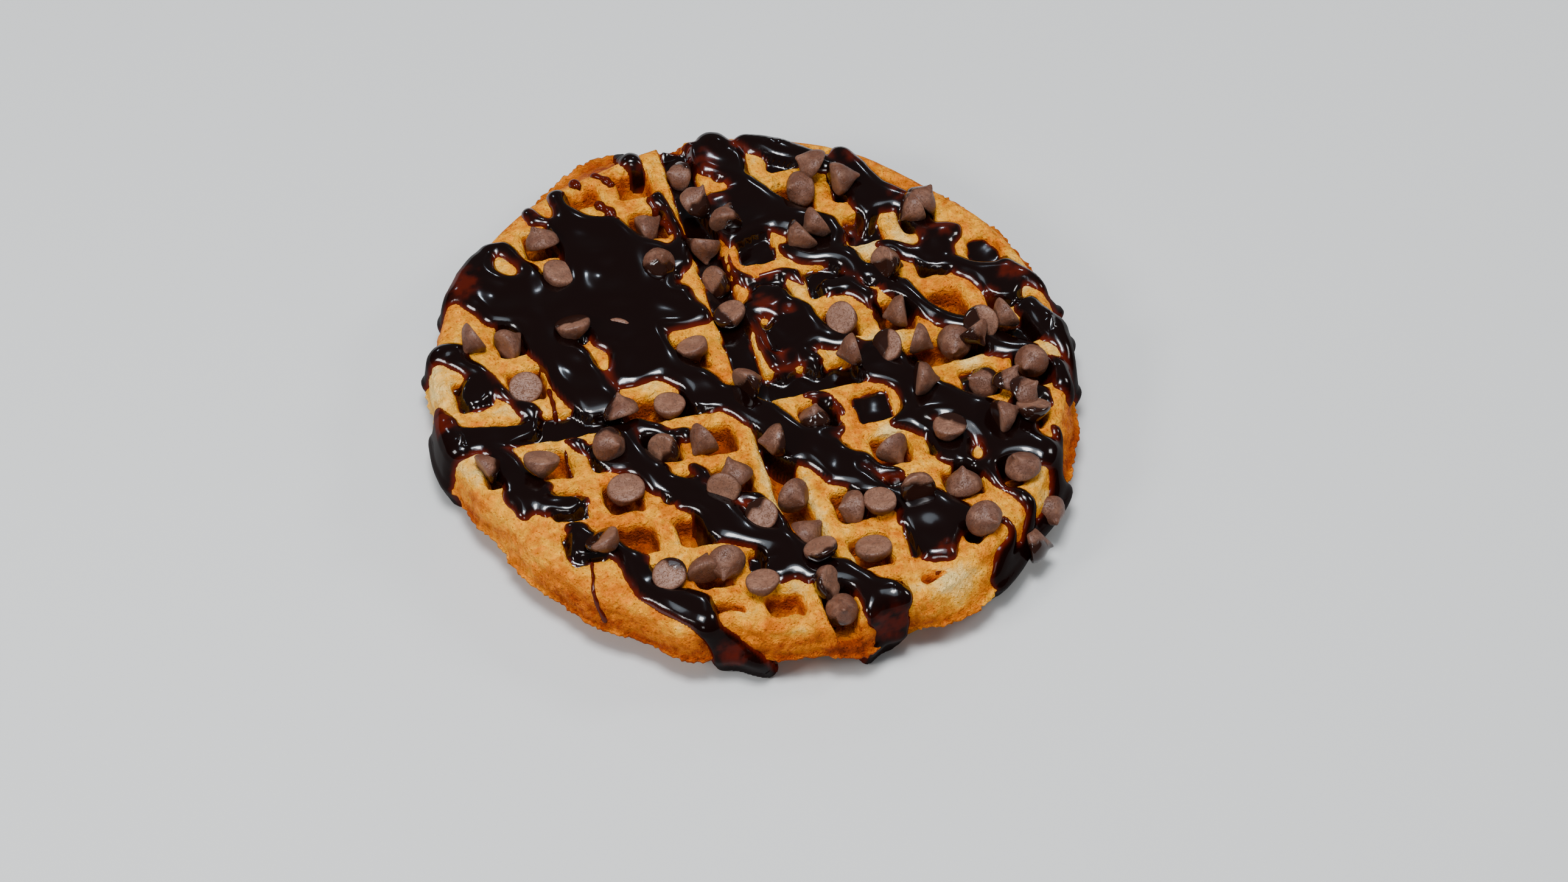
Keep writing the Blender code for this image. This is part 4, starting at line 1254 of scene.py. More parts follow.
@dataclass
class SaucedSurface:
    """The waffle's outer surface rolled out flat: the top's plan, then down the side beyond it."""

    plan: WafflePlan
    along: tuple[float, ...] = (0.0, 1.3, 2.8, 4.3, 13.2, 14.6, 16.0, 23.6, 25.2)
    out: tuple[float, ...] = (0.0, 1.3, 2.6, 3.3, 3.3, 3.3, 3.3, 1.8, 1.4)
    gap_share: tuple[float, ...] = (0.0, 0.0, 0.0, 0.0, 0.78, 1.03, 0.9, 0.4, 0.35)
    level: tuple[float, ...] = (22.0, 21.7, 20.9, 19.5, 10.8, 9.9, 9.0, 1.6, 0.25)
    foot_run: float = 20.0
    typical_gap: float = 3.5

    def polar(self, x: Array, y: Array) -> tuple[Array, Array, Array]:
        """Angle, the run past the shoulder's start (less than 0 on the top) and that start's radius.

        Args:
            x: X on the sheet.
            y: Y on the sheet.

        Returns:
            The angle, the run and the radius.
        """
        away_x, away_y = x - self.plan.top_centre[0], y - self.plan.top_centre[1]
        angle = np.arctan2(away_y, away_x)
        start = self.plan.rim_reach(angle) - self.plan.shoulder
        return angle, np.hypot(away_x, away_y) - start, start

    def base(self, x: Array, y: Array) -> tuple[Array, Array]:
        """The surface's points and outward ways for places on the rolled-out sheet.

        On the top the point is the place itself. Past the shoulder's start the run is measured
        along the side's profile, which steps out by a share of the gap between rim and seam.

        Args:
            x: X on the sheet.
            y: Y on the sheet.

        Returns:
            Points without pockets, and unit ways pointing out of the waffle.
        """
        plan = self.plan
        angle, run, start = self.polar(x, y)
        held = np.clip(run, 0.0, self.along[-1])
        seam = plan.seam_point(angle) - np.array(plan.top_centre)
        gap = seam[..., 0] * np.cos(angle) + seam[..., 1] * np.sin(angle) - (start + plan.shoulder)
        out = np.interp(held, self.along, self.out) + np.interp(held, self.along, self.gap_share) * gap
        level = np.interp(held, self.along, self.level)
        reach = np.where(run > 0.0, start + out, start + run)
        points = np.stack([plan.top_centre[0] + reach * np.cos(angle),
                           plan.top_centre[1] + reach * np.sin(angle), level], -1)
        profile_out = np.array(self.out) + np.array(self.gap_share) * self.typical_gap
        slope_out = np.gradient(profile_out, self.along)
        slope_level = np.gradient(np.array(self.level), self.along)
        size = np.hypot(slope_out, slope_level)
        slope_out[0], slope_level[0], size[0] = 1.0, 0.0, 1.0
        way_out = np.interp(held, self.along, -slope_level / size)
        way_up = np.interp(held, self.along, slope_out / size)
        foot = run > self.foot_run
        way_up[foot] = np.maximum(way_up[foot], 0.0)
        ways = np.stack([way_out * np.cos(angle), way_out * np.sin(angle), way_up], -1)
        return points, ways / np.linalg.norm(ways, axis=-1, keepdims=True)


@dataclass
class SauceSheet:
    """The sauce worked out on an even grid of the rolled-out surface."""

    x: Array
    y: Array
    run: Array
    on_top: Array
    points: Array
    ways: Array
    crust: Array
    level: Array
    wet: Array

    def read(self, values: Array, x: Array, y: Array) -> Array:
        """Reads values of the grid at the grid point next to each place.

        Args:
            values: A number for each grid point.
            x: X of the places.
            y: Y of the places.

        Returns:
            The value at each place.
        """
        step_x = self.x[1, 0] - self.x[0, 0]
        step_y = self.y[0, 1] - self.y[0, 0]
        column = np.clip(np.rint((x - self.x[0, 0]) / step_x), 0, self.x.shape[0] - 1).astype(int)
        row = np.clip(np.rint((y - self.y[0, 0]) / step_y), 0, self.x.shape[1] - 1).astype(int)
        return values[column, row]

    def floor_under(self, points: Array) -> Array:
        """Level of the sauce, or of the bare crust, under each point."""
        floor = np.where(self.wet > 0.0, self.level, self.crust)
        return self.read(floor, points[:, 0], points[:, 1])

    def wetness(self, x: float, y: float) -> float:
        """Thickness of the sauce at a place."""
        return float(self.read(self.wet, np.array([x]), np.array([y]))[0])


@dataclass
class ThickSauce:
    """Thick sauce poured over the waffle, as one sheet that follows it, with a buried underside."""

    surface: SaucedSurface
    step: float = 0.72
    extent: float = 114.0
    grid_shift: float = 4.0
    height: float = 2.4
    edge: float = 4.4
    spread: float = 0.8
    outside_slope: float = 2.6
    joined_round: float = 1.2
    softened: float = 1.0
    sag: float = 1.3
    wide_blur: float = 2.4
    narrow_blur: float = 1.15
    pool_round: float = 0.8
    bank_slope: float = 2.2
    pocket_reach: float = 9.5
    buried_top: float = 1.0
    buried_side: float = 1.4
    film_depth: float = 1.5
    shift_waves: tuple[Waves, Waves] = (((0.22, 9.0, 3), (0.12, 4.0, 4)), ((0.22, 9.0, 5), (0.12, 4.0, 6)))
    swell_waves: Waves = ((0.32, 14.0, 8),)
    pocket_waves: Waves = ((0.3, 6.5, 9),)
    groove_waves: Waves = ((0.3, 10.0, 10),)
    film_waves: Waves = ((0.55, 5.0, 12), (0.45, 2.2, 13))
    thin_patches: tuple[tuple[float, float, float, float], ...] = (
        (-72, 55, 5, 7), (-76, 62, 6, 6), (-86, 10, 5, 6), (5, 80, 4, 9), (3, 70, 5, 4), (65, 44, 5, 4),
        (17, -84, 7, 6), (-28, -84, 5, 5), (58, 60, 5, 5), (48, 76, 4, 4), (80, 24, 5, 4), (9, 27, 4, 5),
        (55, 42, 5, 4), (-44, 76, 4, 4), (70, 17, 5, 3), (36, -66, 4, 3), (40, 52, 4, 5),
    )
    fills: tuple[tuple[float, float, float], ...] = (
        (-60.5, -27, 19.0), (-58.5, -41, 19.5), (-11, -59, 19.0), (-76, 17, 18.5), (11, 32, 20.0),
        (11, 47, 19.5), (28, 31, 20.0), (10.5, 83, 20.0), (26.5, 82, 20.0), (43, 50, 18.5),
        (72, 33, 20.0), (14, -13, 18.5), (30, -13, 19.8), (33, -61, 20.5), (17, -77, 20.0), (58, -10, 19.0),
    )
    groove_fills: tuple[tuple[float, float, bool, float], ...] = (
        (-93.0, -43.0, True, 19.6), (-20.0, 4.0, True, 18.8), (5.0, 45.0, True, 18.6),
        (63.0, 80.0, True, 18.4), (5.0, 93.0, False, 18.9),
    )

    def outline_distance(self, x: Array, y: Array, outline: Outline) -> Array:
        """Distance inside a closed outline, less than 0 outside it.

        The distance to the nearest of its edges, with its sign from how many edges lie to the
        right of the place: an odd number means inside.

        Args:
            x: X on the sheet.
            y: Y on the sheet.
            outline: The outline's corners in order.

        Returns:
            The distance in mm.
        """
        corners = np.array(outline, float)
        nearest = np.full(x.shape, 1e6)
        inside = np.zeros(x.shape, bool)
        for (x0, y0), (x1, y1) in zip(corners, np.roll(corners, -1, axis=0)):
            length = max((x1 - x0) ** 2 + (y1 - y0) ** 2, 1e-9)
            share = np.clip(((x - x0) * (x1 - x0) + (y - y0) * (y1 - y0)) / length, 0.0, 1.0)
            nearest = np.minimum(nearest, np.hypot(x - x0 - share * (x1 - x0), y - y0 - share * (y1 - y0)))
            if y0 != y1:
                inside ^= ((y0 > y) != (y1 > y)) & (x < x0 + (y - y0) / (y1 - y0) * (x1 - x0))
        return np.where(inside, nearest, -nearest)

    def stroke_distance(self, x: Array, y: Array, strokes: Sequence[Stroke]) -> Array:
        """Distance inside the edge of the strokes.

        Each leg of a stroke is a capsule whose half width changes evenly along it. Legs and
        strokes are joined by a rounded maximum.

        Args:
            x: X on the sheet.
            y: Y on the sheet.
            strokes: Places along each stroke with the half width there.

        Returns:
            The distance, less than 0 outside.
        """
        inside = np.full(x.shape, -30.0)
        for stroke in strokes:
            for (x0, y0, r0), (x1, y1, r1) in zip(stroke, stroke[1:]):
                length = (x1 - x0) ** 2 + (y1 - y0) ** 2
                share = np.clip(((x - x0) * (x1 - x0) + (y - y0) * (y1 - y0)) / length, 0.0, 1.0)
                radius = r0 + (r1 - r0) * share
                here = radius - np.hypot(x - x0 - share * (x1 - x0), y - y0 - share * (y1 - y0))
                inside = soft_max(inside, here, 1.2)
        return inside

    def coverage(self, x: Array, y: Array) -> Array:
        """Distance inside the sauce's edge: pools and strokes joined, less the gaps, then softened.

        Args:
            x: X on the sheet.
            y: Y on the sheet.

        Returns:
            The distance in mm, less than 0 outside.
        """
        x, y = (place + unevenness(x, y, waves) for place, waves in zip((x, y), self.shift_waves))
        inside = self.stroke_distance(x, y, SAUCE_STROKES)
        for outline in SAUCE_POOLS:
            inside = soft_max(inside, self.outline_distance(x, y, outline), self.joined_round)
        for outline in SAUCE_GAPS:
            inside = -soft_max(-inside, self.outline_distance(x, y, outline), self.joined_round)
        return blur(np.maximum(inside, -12.0), self.softened / self.step) + self.spread

    def thickness(self, inside: Array) -> Array:
        """Thickness at a distance inside the edge: a rounded lip, falling steeply outside.

        Args:
            inside: Distance inside the sauce's edge.

        Returns:
            The thickness in mm, less than 0 outside.
        """
        share = np.clip(inside / self.edge, 0.0, 1.0)
        lip = self.height * (1.0 - (1.0 - share) ** 2) ** 0.66
        return np.where(inside > 0.0, lip, self.outside_slope * inside)

    def draped(self, x: Array, y: Array, inside: Array, flat: Array,
               crust: Array) -> Array:
        """Level of the sauce where it lies over the waffle without filling it.

        Wide sauce bridges pockets and sags a little into them, and narrow sauce follows the crust,
        blurred. The sauce's thickness and slow swells come on top.

        Args:
            x: X on the sheet.
            y: Y on the sheet.
            inside: Distance inside the sauce's edge.
            flat: Level of the waffle without pockets and grooves.
            crust: Level of the crust.

        Returns:
            The level in mm.
        """
        sunk = np.clip((flat - crust) / self.surface.plan.pocket_depth, 0.0, 1.0)
        wide = flat - self.sag * blur(sunk, self.wide_blur / self.step)
        narrow = flat - blur(np.clip(flat - crust, 0.0, 9.0), self.narrow_blur / self.step)
        share = ease((blur(np.clip(inside, 0.0, 5.0), 2.2 / self.step) - 0.7) / 1.2)
        swell = unevenness(x, y, self.swell_waves) * ease(inside / 4.0)
        return narrow + (wide - narrow) * share + self.thickness(inside) + swell

    def pooled(self, x: Array, y: Array, level: Array, on_top: Array) -> Array:
        """Raises the sauce to nearly level pools in filled pockets and grooves.

        A pool falls away outside its pocket or groove, and joins the sauce by a rounded maximum.

        Args:
            x: X on the sheet.
            y: Y on the sheet.
            level: Level of the draped sauce.
            on_top: Whether each place lies on the top.

        Returns:
            The level in mm.
        """
        plan = self.surface.plan
        outside = plan.pocket_distance(*plan.plan_to_lattice(x, y), x, y)
        bank = self.bank_slope * np.maximum(outside - 0.2, 0.0)
        uneven = unevenness(x, y, self.pocket_waves)
        for at_x, at_y, fill in self.fills:
            near = on_top & (np.hypot(x - at_x, y - at_y) < self.pocket_reach)
            level = np.where(near, soft_max(level, fill + uneven - bank, self.pool_round), level)
        uneven = unevenness(x, y, self.groove_waves)
        for low, high, along_x, fill in self.groove_fills:
            place, across = (x, y - plan.cross_groove(x)) if along_x else (y, x - plan.long_groove(y))
            ends = 1.2 * np.minimum(place - low, high - place)
            banks = 3.0 * (plan.groove_half + 0.4 - np.abs(across))
            pool = fill + np.minimum(np.minimum(ends, banks), 0.0) + uneven
            near = on_top & (np.abs(across) < 7.0)
            level = np.where(near, soft_max(level, pool, self.pool_round), level)
        return level

    def sheet(self) -> SauceSheet:
        """Works out the sheet: the waffle's level, the sauce's level and where it is wet.

        Returns:
            The sheet.
        """
        plan = self.surface.plan
        count = int(2 * self.extent / self.step) + 1
        line = np.linspace(-self.extent, self.extent, count)
        x, y = np.meshgrid(line, line + self.grid_shift, indexing="ij")
        inside = self.coverage(x, y)
        _, run, _ = self.surface.polar(x, y)
        points, ways = self.surface.base(x, y)
        on_top = run < 0.0
        side = np.minimum(points[..., 2], plan.thickness - plan.groove_drop(points[..., 0], points[..., 1]))
        crust = np.where(on_top, plan.top_level(x, y), side)
        flat = np.where(on_top, plan.thickness, points[..., 2])
        level = self.pooled(x, y, self.draped(x, y, inside, flat, crust), on_top)
        wet = np.where(on_top, level - crust, self.thickness(inside))
        return SauceSheet(x, y, run, on_top, points, ways, crust, level, wet)

    def skins(self, sheet: SauceSheet, used: Array) -> tuple[Array, Array]:
        """The sauce's outer skin and its buried one.

        On the top they go straight up and down from the plan, and down the side they go out and
        in along the surface's own way. The two kinds blend at the start of the shoulder.

        Args:
            sheet: The sheet.
            used: Numbers of its grid points in use.

        Returns:
            Points of the outer and of the buried skin.
        """
        points = sheet.points.reshape(-1, 3)[used]
        ways = sheet.ways.reshape(-1, 3)[used]
        crust, level, wet, run = (values.ravel()[used] for values in
                                  (sheet.crust, sheet.level, sheet.wet, sheet.run))
        outer_level = np.maximum(level, crust - self.buried_top)
        buried_level = np.minimum(level, crust) - self.buried_top
        outer_top = np.stack([points[:, 0], points[:, 1], outer_level], -1)
        buried_top = np.stack([points[:, 0], points[:, 1], buried_level], -1)
        outer_side = points + ways * np.maximum(wet, -1.0)[:, None]
        buried_side = points - ways * self.buried_side
        blend = ease(run / 1.2 + 0.5)[:, None]
        outer = outer_top + (outer_side - outer_top) * blend
        buried = buried_top + (buried_side - buried_top) * blend
        outer[:, 2] = np.maximum(outer[:, 2], 0.15)
        buried[:, 2] = np.clip(buried[:, 2], 0.1, outer[:, 2] - 0.05)
        return outer, buried

    def film_number(self, sheet: SauceSheet, used: Array) -> Array:
        """How thin the sauce looks: 1 at its edge, and patchy where it is poured thin.

        Args:
            sheet: The sheet.
            used: Numbers of its grid points in use.

        Returns:
            The number for each point.
        """
        x, y, wet = (values.ravel()[used] for values in (sheet.x, sheet.y, sheet.wet))
        thin = np.zeros(len(used))
        for patch in self.thin_patches:
            thin = np.maximum(thin, bell(x, y, patch))
        patchy = ease(thin * (1.3 + unevenness(x, y, self.film_waves)) - 0.3)
        return np.maximum(1.0 - ease(np.maximum(wet, 0.0) / self.film_depth), 0.55 * patchy)

    def build(self, material: Material) -> SauceSheet:
        """Builds the sauce: both skins, with walls between them along its edge.

        Args:
            material: The sauce's finish.

        Returns:
            The sheet, which the chips rest on.
        """
        sheet = self.sheet()
        kept = of_corners(sheet.wet, np.maximum) > 0.0
        kept &= np.maximum(sheet.run[:-1, :-1], sheet.run[1:, 1:]) < self.surface.along[-1] - 0.6
        used, quads = grid_quads(kept)
        rim = border_edges(quads)
        total = len(used)
        walls = np.stack([rim[:, 1], rim[:, 0], rim[:, 0] + total, rim[:, 1] + total], -1)
        faces = np.concatenate([quads, quads[:, ::-1] + total, walls])
        side = ease(sheet.run.ravel()[used] / 4.0)
        numbers = {"film": np.tile(self.film_number(sheet, used), 2), "side": np.tile(side, 2)}
        make_piece("chocolate_sauce", np.concatenate(self.skins(sheet, used)), [faces], material, numbers)
        return sheet


@dataclass
class SauceThreads:
    """Thin threads of sauce: tubes that lie on the crust."""

    surface: SaucedSurface
    sides: int = 10
    step: float = 0.5
    end_round: float = 1.0
    film: float = 0.55
    gloss_lost: float = 0.7
    sway_waves: Waves = ((0.3, 6.0, 31),)
    width_waves: Waves = ((0.2, 4.0, 32),)

    def build(self, material: Material) -> None:
        """Builds every thread as a closed tube with round ends, in one mesh.

        Args:
            material: The sauce's finish.
        """
        points, quads, caps, count = [], [], [], 0
        for stroke in THREADS:
            rings = self.tube(np.array(stroke, float))
            number = count + np.arange(len(rings) * self.sides).reshape(len(rings), self.sides)
            quads.append(ring_quads(number))
            caps.extend([number[0][::-1], number[-1]])
            points.append(rings.reshape(-1, 3))
            count += number.size
        numbers = {"film": np.full(count, self.film), "side": np.full(count, self.gloss_lost)}
        make_piece("sauce_threads", np.concatenate(points), [np.concatenate(quads), np.stack(caps)], material,
                   numbers)

    def tube(self, stroke: Array) -> Array:
        """Rings of one thread: circles across its route, whose radius shrinks at both ends.

        Args:
            stroke: Places along the thread with the half width there.

        Returns:
            Points of each ring, in rows.
        """
        plan = self.surface.plan
        leg = np.hypot(np.diff(stroke[:, 0]), np.diff(stroke[:, 1]))
        far = np.concatenate([[0.0], np.cumsum(leg)])
        place = np.linspace(0.0, far[-1], int(far[-1] / self.step) + 3)
        straight = np.zeros(len(place))
        x, y, radius = (np.interp(place, far, values) for values in stroke.T)
        x = x + unevenness(place, straight, self.sway_waves)
        radius = radius * (1.0 + unevenness(place, straight, self.width_waves))
        ends = np.minimum(place, far[-1] - place)
        radius = radius * np.sqrt(np.clip(ends / self.end_round, 0.02, 1.0))
        base, ways = self.surface.base(x, y)
        _, run, _ = self.surface.polar(x, y)
        level = np.where(run < 0.0, plan.top_level(x, y), base[:, 2])
        centre = np.stack([base[:, 0], base[:, 1], level], -1)
        along = np.gradient(centre, axis=0)
        along /= np.linalg.norm(along, axis=1, keepdims=True)
        side = np.cross(along, ways)
        side /= np.linalg.norm(side, axis=1, keepdims=True)
        up = np.cross(side, along)
        turn = (np.arange(self.sides) * 2.0 * math.pi / self.sides)[None, :, None]
        circle = side[:, None, :] * np.cos(turn) + up[:, None, :] * np.sin(turn)
        return centre[:, None, :] + circle * radius[:, None, None]


# Chips

# Each chip's place, the degrees that its tip leans from straight up and the lean's direction
CHIPS: tuple[tuple[float, float, float, float], ...] = (
    (-77, -10, 80, 20), (-64, -15, 150, 250), (-44, -13, 60, 300), (-43, -26, 178, 0),
    (-29, -14, 110, 45), (-20, -16, 100, 210), (-14, -29, 40, 120), (-17, -32, 120, 60),
    (-9, -43, 150, 40), (-53, -44, 140, 300), (-38, -57, 160, 60), (-29, -57, 85, 90),
    (-23, -59, 70, 260), (-15, -67, 165, 280), (-1, -21, 85, 180), (1, -40, 75, 300),
    (2, -50, 60, 20), (3, -60, 150, 300), (1, -69, 120, 150), (4, -77, 15, 250),
    (13, -12, 30, 80), (31, -30, 95, 290), (47, -28, 170, 250), (14, -46, 70, 180),
    (22, -48, 172, 260), (33, -45, 110, 90), (46, -45, 25, 100), (17, -61, 160, 270),
    (48, -61, 60, 280), (63, -44, 20, 120), (61, -11, 40, 190), (75, -10, 60, 230),
    (67, -15, 40, 60), (71, -27, 150, 250), (63, -27, 95, 10), (45, -10, 100, 350),
    (71, -21, 50, 0), (-25, 0, 168, 250),
    (-39, 0, 50, 100), (-2, 1, 90, 30), (27, 4, 100, 180), (39, 5, 140, 30),
    (48, 4, 95, 330), (57, 3, 50, 250), (63, 3, 120, 300), (72, 7, 110, 200),
    (44, 17, 100, 170), (66, 7, 130, 60), (29, 17, 140, 30), (46, 34, 120, 20),
    (24, 48, 120, 200), (29, 51, 110, 200), (57, 51, 95, 200), (62, 54, 60, 30),
    (41, 67, 90, 10), (33, 73, 60, 150), (28, 67, 60, 200), (5, 59, 80, 80),
    (-1, 67, 40, 0), (-3, 53, 130, 250), (-4, 82, 60, 180), (-1, 41, 110, 30),
    (-1, 27, 160, 320), (-14, 17, 150, 300), (-47, 65, 40, 100), (-45, 31, 150, 280),
    (-62, 16, 165, 90), (-63, 31, 95, 30), (-74, 33, 110, 200),
)

# Chips caught in the sauce on the side, with their level
SIDE_CHIPS: tuple[tuple[float, ...], ...] = ((69.5, -53.6, 75, 280, 12.5), (62.9, -61.2, 85, 0, 11.0))

# Chips nearly under the sauce, with how far they are sunk
SUNKEN_CHIPS: tuple[tuple[float, ...], ...] = (
    (-33, 29, 150, 60, 8.6), (-45, 52, 160, 200, 5.2), (-16, 48, 30, 300, 3.6), (-16, 65, 85, 10, 3.4),
)


@dataclass
class ChocolateChips:
    """The chips: turned drops with a flat base and a bent tip, each set down on what lies under it."""

    sheet: SauceSheet
    radius: float = 4.8
    height: float = 7.0
    middle: float = 2.6
    columns: int = 24
    sink: float = 1.3
    sink_in_sauce: float = 2.8
    under_sauce: float = 0.5
    highest: float = 31.0
    any_turn: float = 6.3
    coated_in_sauce: float = 0.16
    coated_on_crust: float = -0.30
    coat_waves: Waves = ((0.08, 3.0, 60),)
    profile: tuple[tuple[float, float], ...] = (
        (0.45, 0.02), (0.86, 0.0), (0.97, 0.22), (1.0, 0.7), (0.985, 1.5), (0.9, 2.6), (0.75, 3.6),
        (0.56, 4.5), (0.37, 5.3), (0.235, 6.0), (0.15, 6.6), (0.08, 7.05))

    def build(self, material: Material) -> None:
        """Builds every chip into one mesh.

        Args:
            material: The chips' finish.
        """
        random = np.random.default_rng(11)
        points, quads, fans, coats, count = [], [], [], [], 0
        rings = len(self.profile)
        # Flat base rings: where the finish adds its painted highlight
        disc = np.repeat([1.0, 1.0, 0.4, *[0.0] * (rings - 3)], self.columns)
        disc = np.concatenate([disc, [1.0, 0.0]])
        every = [(*chip, None, 0.0) for chip in CHIPS]
        every += [(*chip, 0.0) for chip in SIDE_CHIPS]
        every += [(*chip[:4], None, chip[4]) for chip in SUNKEN_CHIPS]
        for x, y, lean, towards, level, sink in every:
            chip = self.leant(self.drop(random), lean, towards) + np.array([x, y, 0.0])
            coats.append(self.coat_number(chip, x, y, random))
            chip[:, 2] += self.lift(x, y, chip, sink) if level is None else level
            chip[:, 2] -= max(float(chip[:, 2].max()) - self.highest, 0.0)
            low = count + rings * self.columns
            number = np.arange(count, low).reshape(rings, self.columns)
            after = np.roll(number, -1, axis=1)
            quads.append(ring_quads(number))
            fans.append(np.stack([number[0], np.full(self.columns, low), after[0]], -1))
            fans.append(np.stack([number[-1], after[-1], np.full(self.columns, low + 1)], -1))
            points.append(chip)
            count += len(chip)
        numbers = {"coat": np.concatenate(coats), "disc": np.tile(disc, len(points))}
        make_piece("chocolate_chips", np.concatenate(points), [np.concatenate(quads), np.concatenate(fans)],
                   material, numbers)

    def drop(self, random: np.random.Generator) -> Array:
        """One upright chip about its middle.

        The profile is turned round the chip's axis, with folds that run round the upper half. The
        tip bends to one side by the cube of the height.

        Args:
            random: Source of its small differences.

        Returns:
            Its points, ring by ring, then the middle of its base and its tip.
        """
        size = random.uniform(0.94, 1.07)
        reach = np.array([r for r, _ in self.profile])[:, None] * self.radius
        up = np.array([h for _, h in self.profile])[:, None]
        turn = (np.arange(self.columns) * 2.0 * math.pi / self.columns)[None, :]
        high = np.clip(up / self.height, 0.0, 1.0)
        crease = random.uniform(0.06, 0.26)
        folds = 1.0 + crease * high * np.sin(2.0 * turn + 4.0 * high + random.uniform(0, self.any_turn))
        folds = folds + 0.07 * high * np.sin(5.0 * turn - 6.0 * high + random.uniform(0, self.any_turn))
        reach = reach * folds * (1.0 + 0.02 * np.sin(2.0 * turn + random.uniform(0, self.any_turn)))
        bend = random.uniform(0.4, 2.4)
        way = random.uniform(0, self.any_turn)
        x = reach * np.cos(turn) + bend * high ** 3 * math.cos(way)
        y = reach * np.sin(turn) + bend * high ** 3 * math.sin(way)
        z = np.broadcast_to(up, x.shape) * random.uniform(0.86, 1.04)
        tip = [bend * math.cos(way), bend * math.sin(way), z.max() + 0.12]
        chip = np.concatenate([np.stack([x, y, z], -1).reshape(-1, 3), [[0.0, 0.0, 0.05]], [tip]]) * size
        return chip - np.array([0.0, 0.0, self.middle])

    def leant(self, chip: Array, lean: float, towards: float) -> Array:
        """Turns a chip about its middle, by the lean, so that its tip goes towards a direction.

        Args:
            chip: Its points.
            lean: Degrees from straight up.
            towards: Direction of the lean, in degrees.

        Returns:
            The turned points: p cos a + (k x p) sin a + k (k . p) (1 - cos a), about the axis k.
        """
        way = math.radians(towards)
        angle = math.radians(lean)
        axis = np.array([-math.sin(way), math.cos(way), 0.0])
        along = np.outer(chip @ axis, axis)
        turned = chip * math.cos(angle) + np.cross(axis, chip) * math.sin(angle)
        return turned + along * (1.0 - math.cos(angle))

    def coat_number(self, chip: Array, x: float, y: float, random: np.random.Generator) -> Array:
        """How far sauce coats each point of a chip: more on one side and low down, and in sauce.

        Args:
            chip: The chip's points.
            x: X of its place.
            y: Y of its place.
            random: Source of the side that is coated.

        Returns:
            The number for each point.
        """
        spot = random.uniform(0, self.any_turn)
        wet = self.sheet.wetness(x, y) > self.under_sauce
        tilt = (chip[:, 0] - x) * math.cos(spot) + (chip[:, 1] - y) * math.sin(spot)
        low = (chip[:, 2] - chip[:, 2].min()) / self.height
        coat = 0.5 + tilt / 9.0 - low * 0.3 + (self.coated_in_sauce if wet else self.coated_on_crust)
        return coat + unevenness(chip[:, 0], chip[:, 1], self.coat_waves)

    def lift(self, x: float, y: float, chip: Array, sink: float) -> float:
        """How far a chip is raised so that it sinks a little into what lies under it.

        Args:
            x: X of its place.
            y: Y of its place.
            chip: Its points.
            sink: Least depth that it sinks.

        Returns:
            The distance in mm.
        """
        wet = self.sheet.wetness(x, y) > self.under_sauce
        touching = float(np.max(self.sheet.floor_under(chip) - chip[:, 2]))
        return touching - max(sink, self.sink_in_sauce if wet else self.sink)


# Floor, light and camera

@dataclass(frozen=True)
class Lamp:
    """A soft square light that points at the waffle: place and width in metres, power in watts."""

    name: str
    place: tuple[float, float, float]
    width: float
    power: float
    colour: Colour = (1.0, 1.0, 1.0)

    def make(self) -> None:
        """Makes the light, turned to face the middle of the row."""
        data = bpy.data.lights.new(self.name, "AREA")
        data.shape = "SQUARE"
        data.size = self.width
        data.energy = self.power
        data.color = self.colour
        lamp = bpy.data.objects.new(self.name, data)
        bpy.context.scene.collection.objects.link(lamp)
        back = np.array(self.place) / np.linalg.norm(self.place)
        right = np.cross([0.0, 0.0, 1.0], back)
        right = right / np.linalg.norm(right)
        lamp.matrix_world = placed(right, np.cross(back, right), back, np.array(self.place))


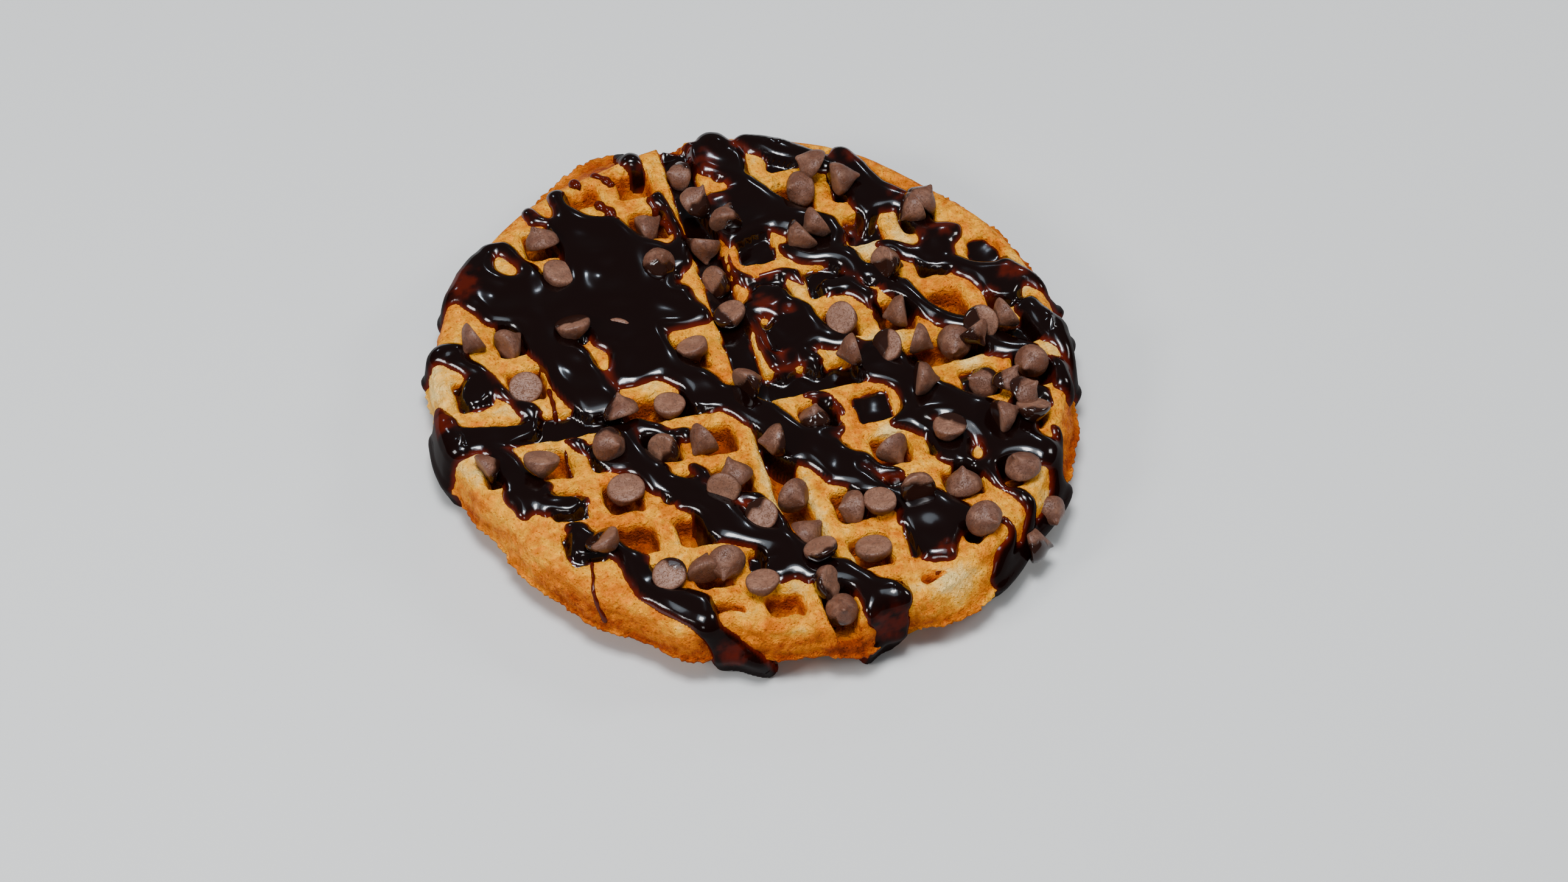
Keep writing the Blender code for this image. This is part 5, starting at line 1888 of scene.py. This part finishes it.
@dataclass
class Studio:
    """Pale floor, soft light and the photograph's camera."""

    focal_pixels: float = 7000.0
    image_width: float = 2576.0
    sensor: float = 36.0
    clip: tuple[float, float] = (0.05, 20.0)
    elevation: float = 52.29
    roll: float = 1.197
    offset: tuple[float, float, float] = (-0.380, -7.129, 1182.2)
    crossing: tuple[float, float] = (-7.0, 0.5)
    turn: float = 15.0
    lowered: float = 11.0
    floor_half: float = 3.0
    sky: Colour = (0.95, 0.97, 1.0)
    sky_strength: float = 0.12
    lamps: tuple[Lamp, ...] = (
        Lamp("overhead", (-0.10, -0.14, 1.20), 0.34, 18.0, (0.97, 0.98, 1.0)),
        Lamp("glow", (-0.10, -0.14, 1.25), 0.74, 5.5, (0.72, 0.86, 1.0)),
        Lamp("front", (-0.25, -1.10, 0.80), 0.30, 2.5),
        Lamp("left", (-0.95, -0.25, 0.75), 0.30, 8.0),
        Lamp("right", (0.95, 0.05, 0.70), 0.25, 4.0),
        Lamp("window_left", (-0.55, 0.95, 0.55), 0.12, 0.8, (0.72, 0.85, 1.0)),
        Lamp("window_right", (0.45, 0.85, 0.85), 0.05, 0.8, (0.72, 0.85, 1.0)),
    )

    def to_row(self, vector: Array, is_place: bool) -> Array:
        """Brings a vector from the camera solution's frame to the row's frame.

        Args:
            vector: A place in mm, or a direction.
            is_place: Whether it is a place.

        Returns:
            The place in metres, or the direction.
        """
        turn = math.radians(self.turn)
        moved = vector - np.array([*self.crossing, -self.lowered]) if is_place else vector
        turned = np.array([
            math.cos(turn) * moved[0] + math.sin(turn) * moved[1],
            -math.sin(turn) * moved[0] + math.cos(turn) * moved[1],
            moved[2]])
        return (turned + PLAN_SHIFT) * MM if is_place else turned

    def camera(self) -> None:
        """Makes the camera from the photograph's solved view."""
        lift = math.radians(self.elevation)
        roll = math.radians(self.roll)
        level = np.array([1.0, 0.0, 0.0])
        steep = np.array([0.0, -math.sin(lift), -math.cos(lift)])
        ahead = np.array([0.0, math.cos(lift), -math.sin(lift)])
        right = math.cos(roll) * level - math.sin(roll) * steep
        down = math.sin(roll) * level + math.cos(roll) * steep
        place = -(right * self.offset[0] + down * self.offset[1] + ahead * self.offset[2])
        data = bpy.data.cameras.new("camera")
        data.sensor_width = self.sensor
        data.lens = self.focal_pixels / self.image_width * self.sensor
        data.clip_start, data.clip_end = self.clip
        camera = bpy.data.objects.new("camera", data)
        bpy.context.scene.collection.objects.link(camera)
        axes = [self.to_row(axis, False) for axis in (right, -down, -ahead)]
        camera.matrix_world = placed(*axes, self.to_row(place, True))
        bpy.context.scene.camera = camera

    def floor(self) -> None:
        """Makes the floor: a wide square just under the waffle."""
        half = self.floor_half
        corners = [(-half, -half, 0.0), (half, -half, 0.0), (half, half, 0.0), (-half, half, 0.0)]
        mesh = bpy.data.meshes.new("floor")
        mesh.from_pydata(corners, [], [(0, 1, 2, 3)])
        mesh.materials.append(FloorFinish().make())
        floor = bpy.data.objects.new("floor", mesh)
        bpy.context.scene.collection.objects.link(floor)
        floor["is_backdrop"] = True

    def surroundings(self) -> None:
        """Makes the faint even light that comes from all round."""
        world = bpy.data.worlds.new("studio")
        world.use_nodes = True
        background = world.node_tree.nodes["Background"]
        background.inputs["Color"].default_value = (*self.sky, 1.0)
        background.inputs["Strength"].default_value = self.sky_strength
        bpy.context.scene.world = world

    def build(self) -> None:
        """Makes camera, floor, lights and surroundings."""
        self.camera()
        self.floor()
        for lamp in self.lamps:
            lamp.make()
        self.surroundings()


def write_sizes(before: tuple, after: tuple) -> None:
    """Logs the CAD box and the visual model's box, in mm.

    Args:
        before: Low and high corner of the CAD box, in metres.
        after: Low and high corner of the visual model's box, in metres.
    """
    boxes = {"cad": [list(corner) for corner in before], "visual": [list(corner) for corner in after]}
    for key, box in boxes.items():
        low, high = np.round(np.array(box) / MM, 2)
        LOG.info("%s box: %s to %s mm", key, low, high)


def main() -> None:
    """Builds the waffle, its sauce and its chips, then the studio."""
    logging.basicConfig(level=logging.INFO, format="%(message)s")
    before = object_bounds()
    plan = WafflePlan()
    BakedWaffle(plan).build(CrustFinish().make())
    surface = SaucedSurface(plan)
    sauce_finish = SauceFinish().make()
    sheet = ThickSauce(surface).build(sauce_finish)
    SauceThreads(surface).build(sauce_finish)
    ChocolateChips(sheet).build(ChipFinish().make())
    Studio().build()
    write_sizes(before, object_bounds())


if __name__ == "__main__":
    main()
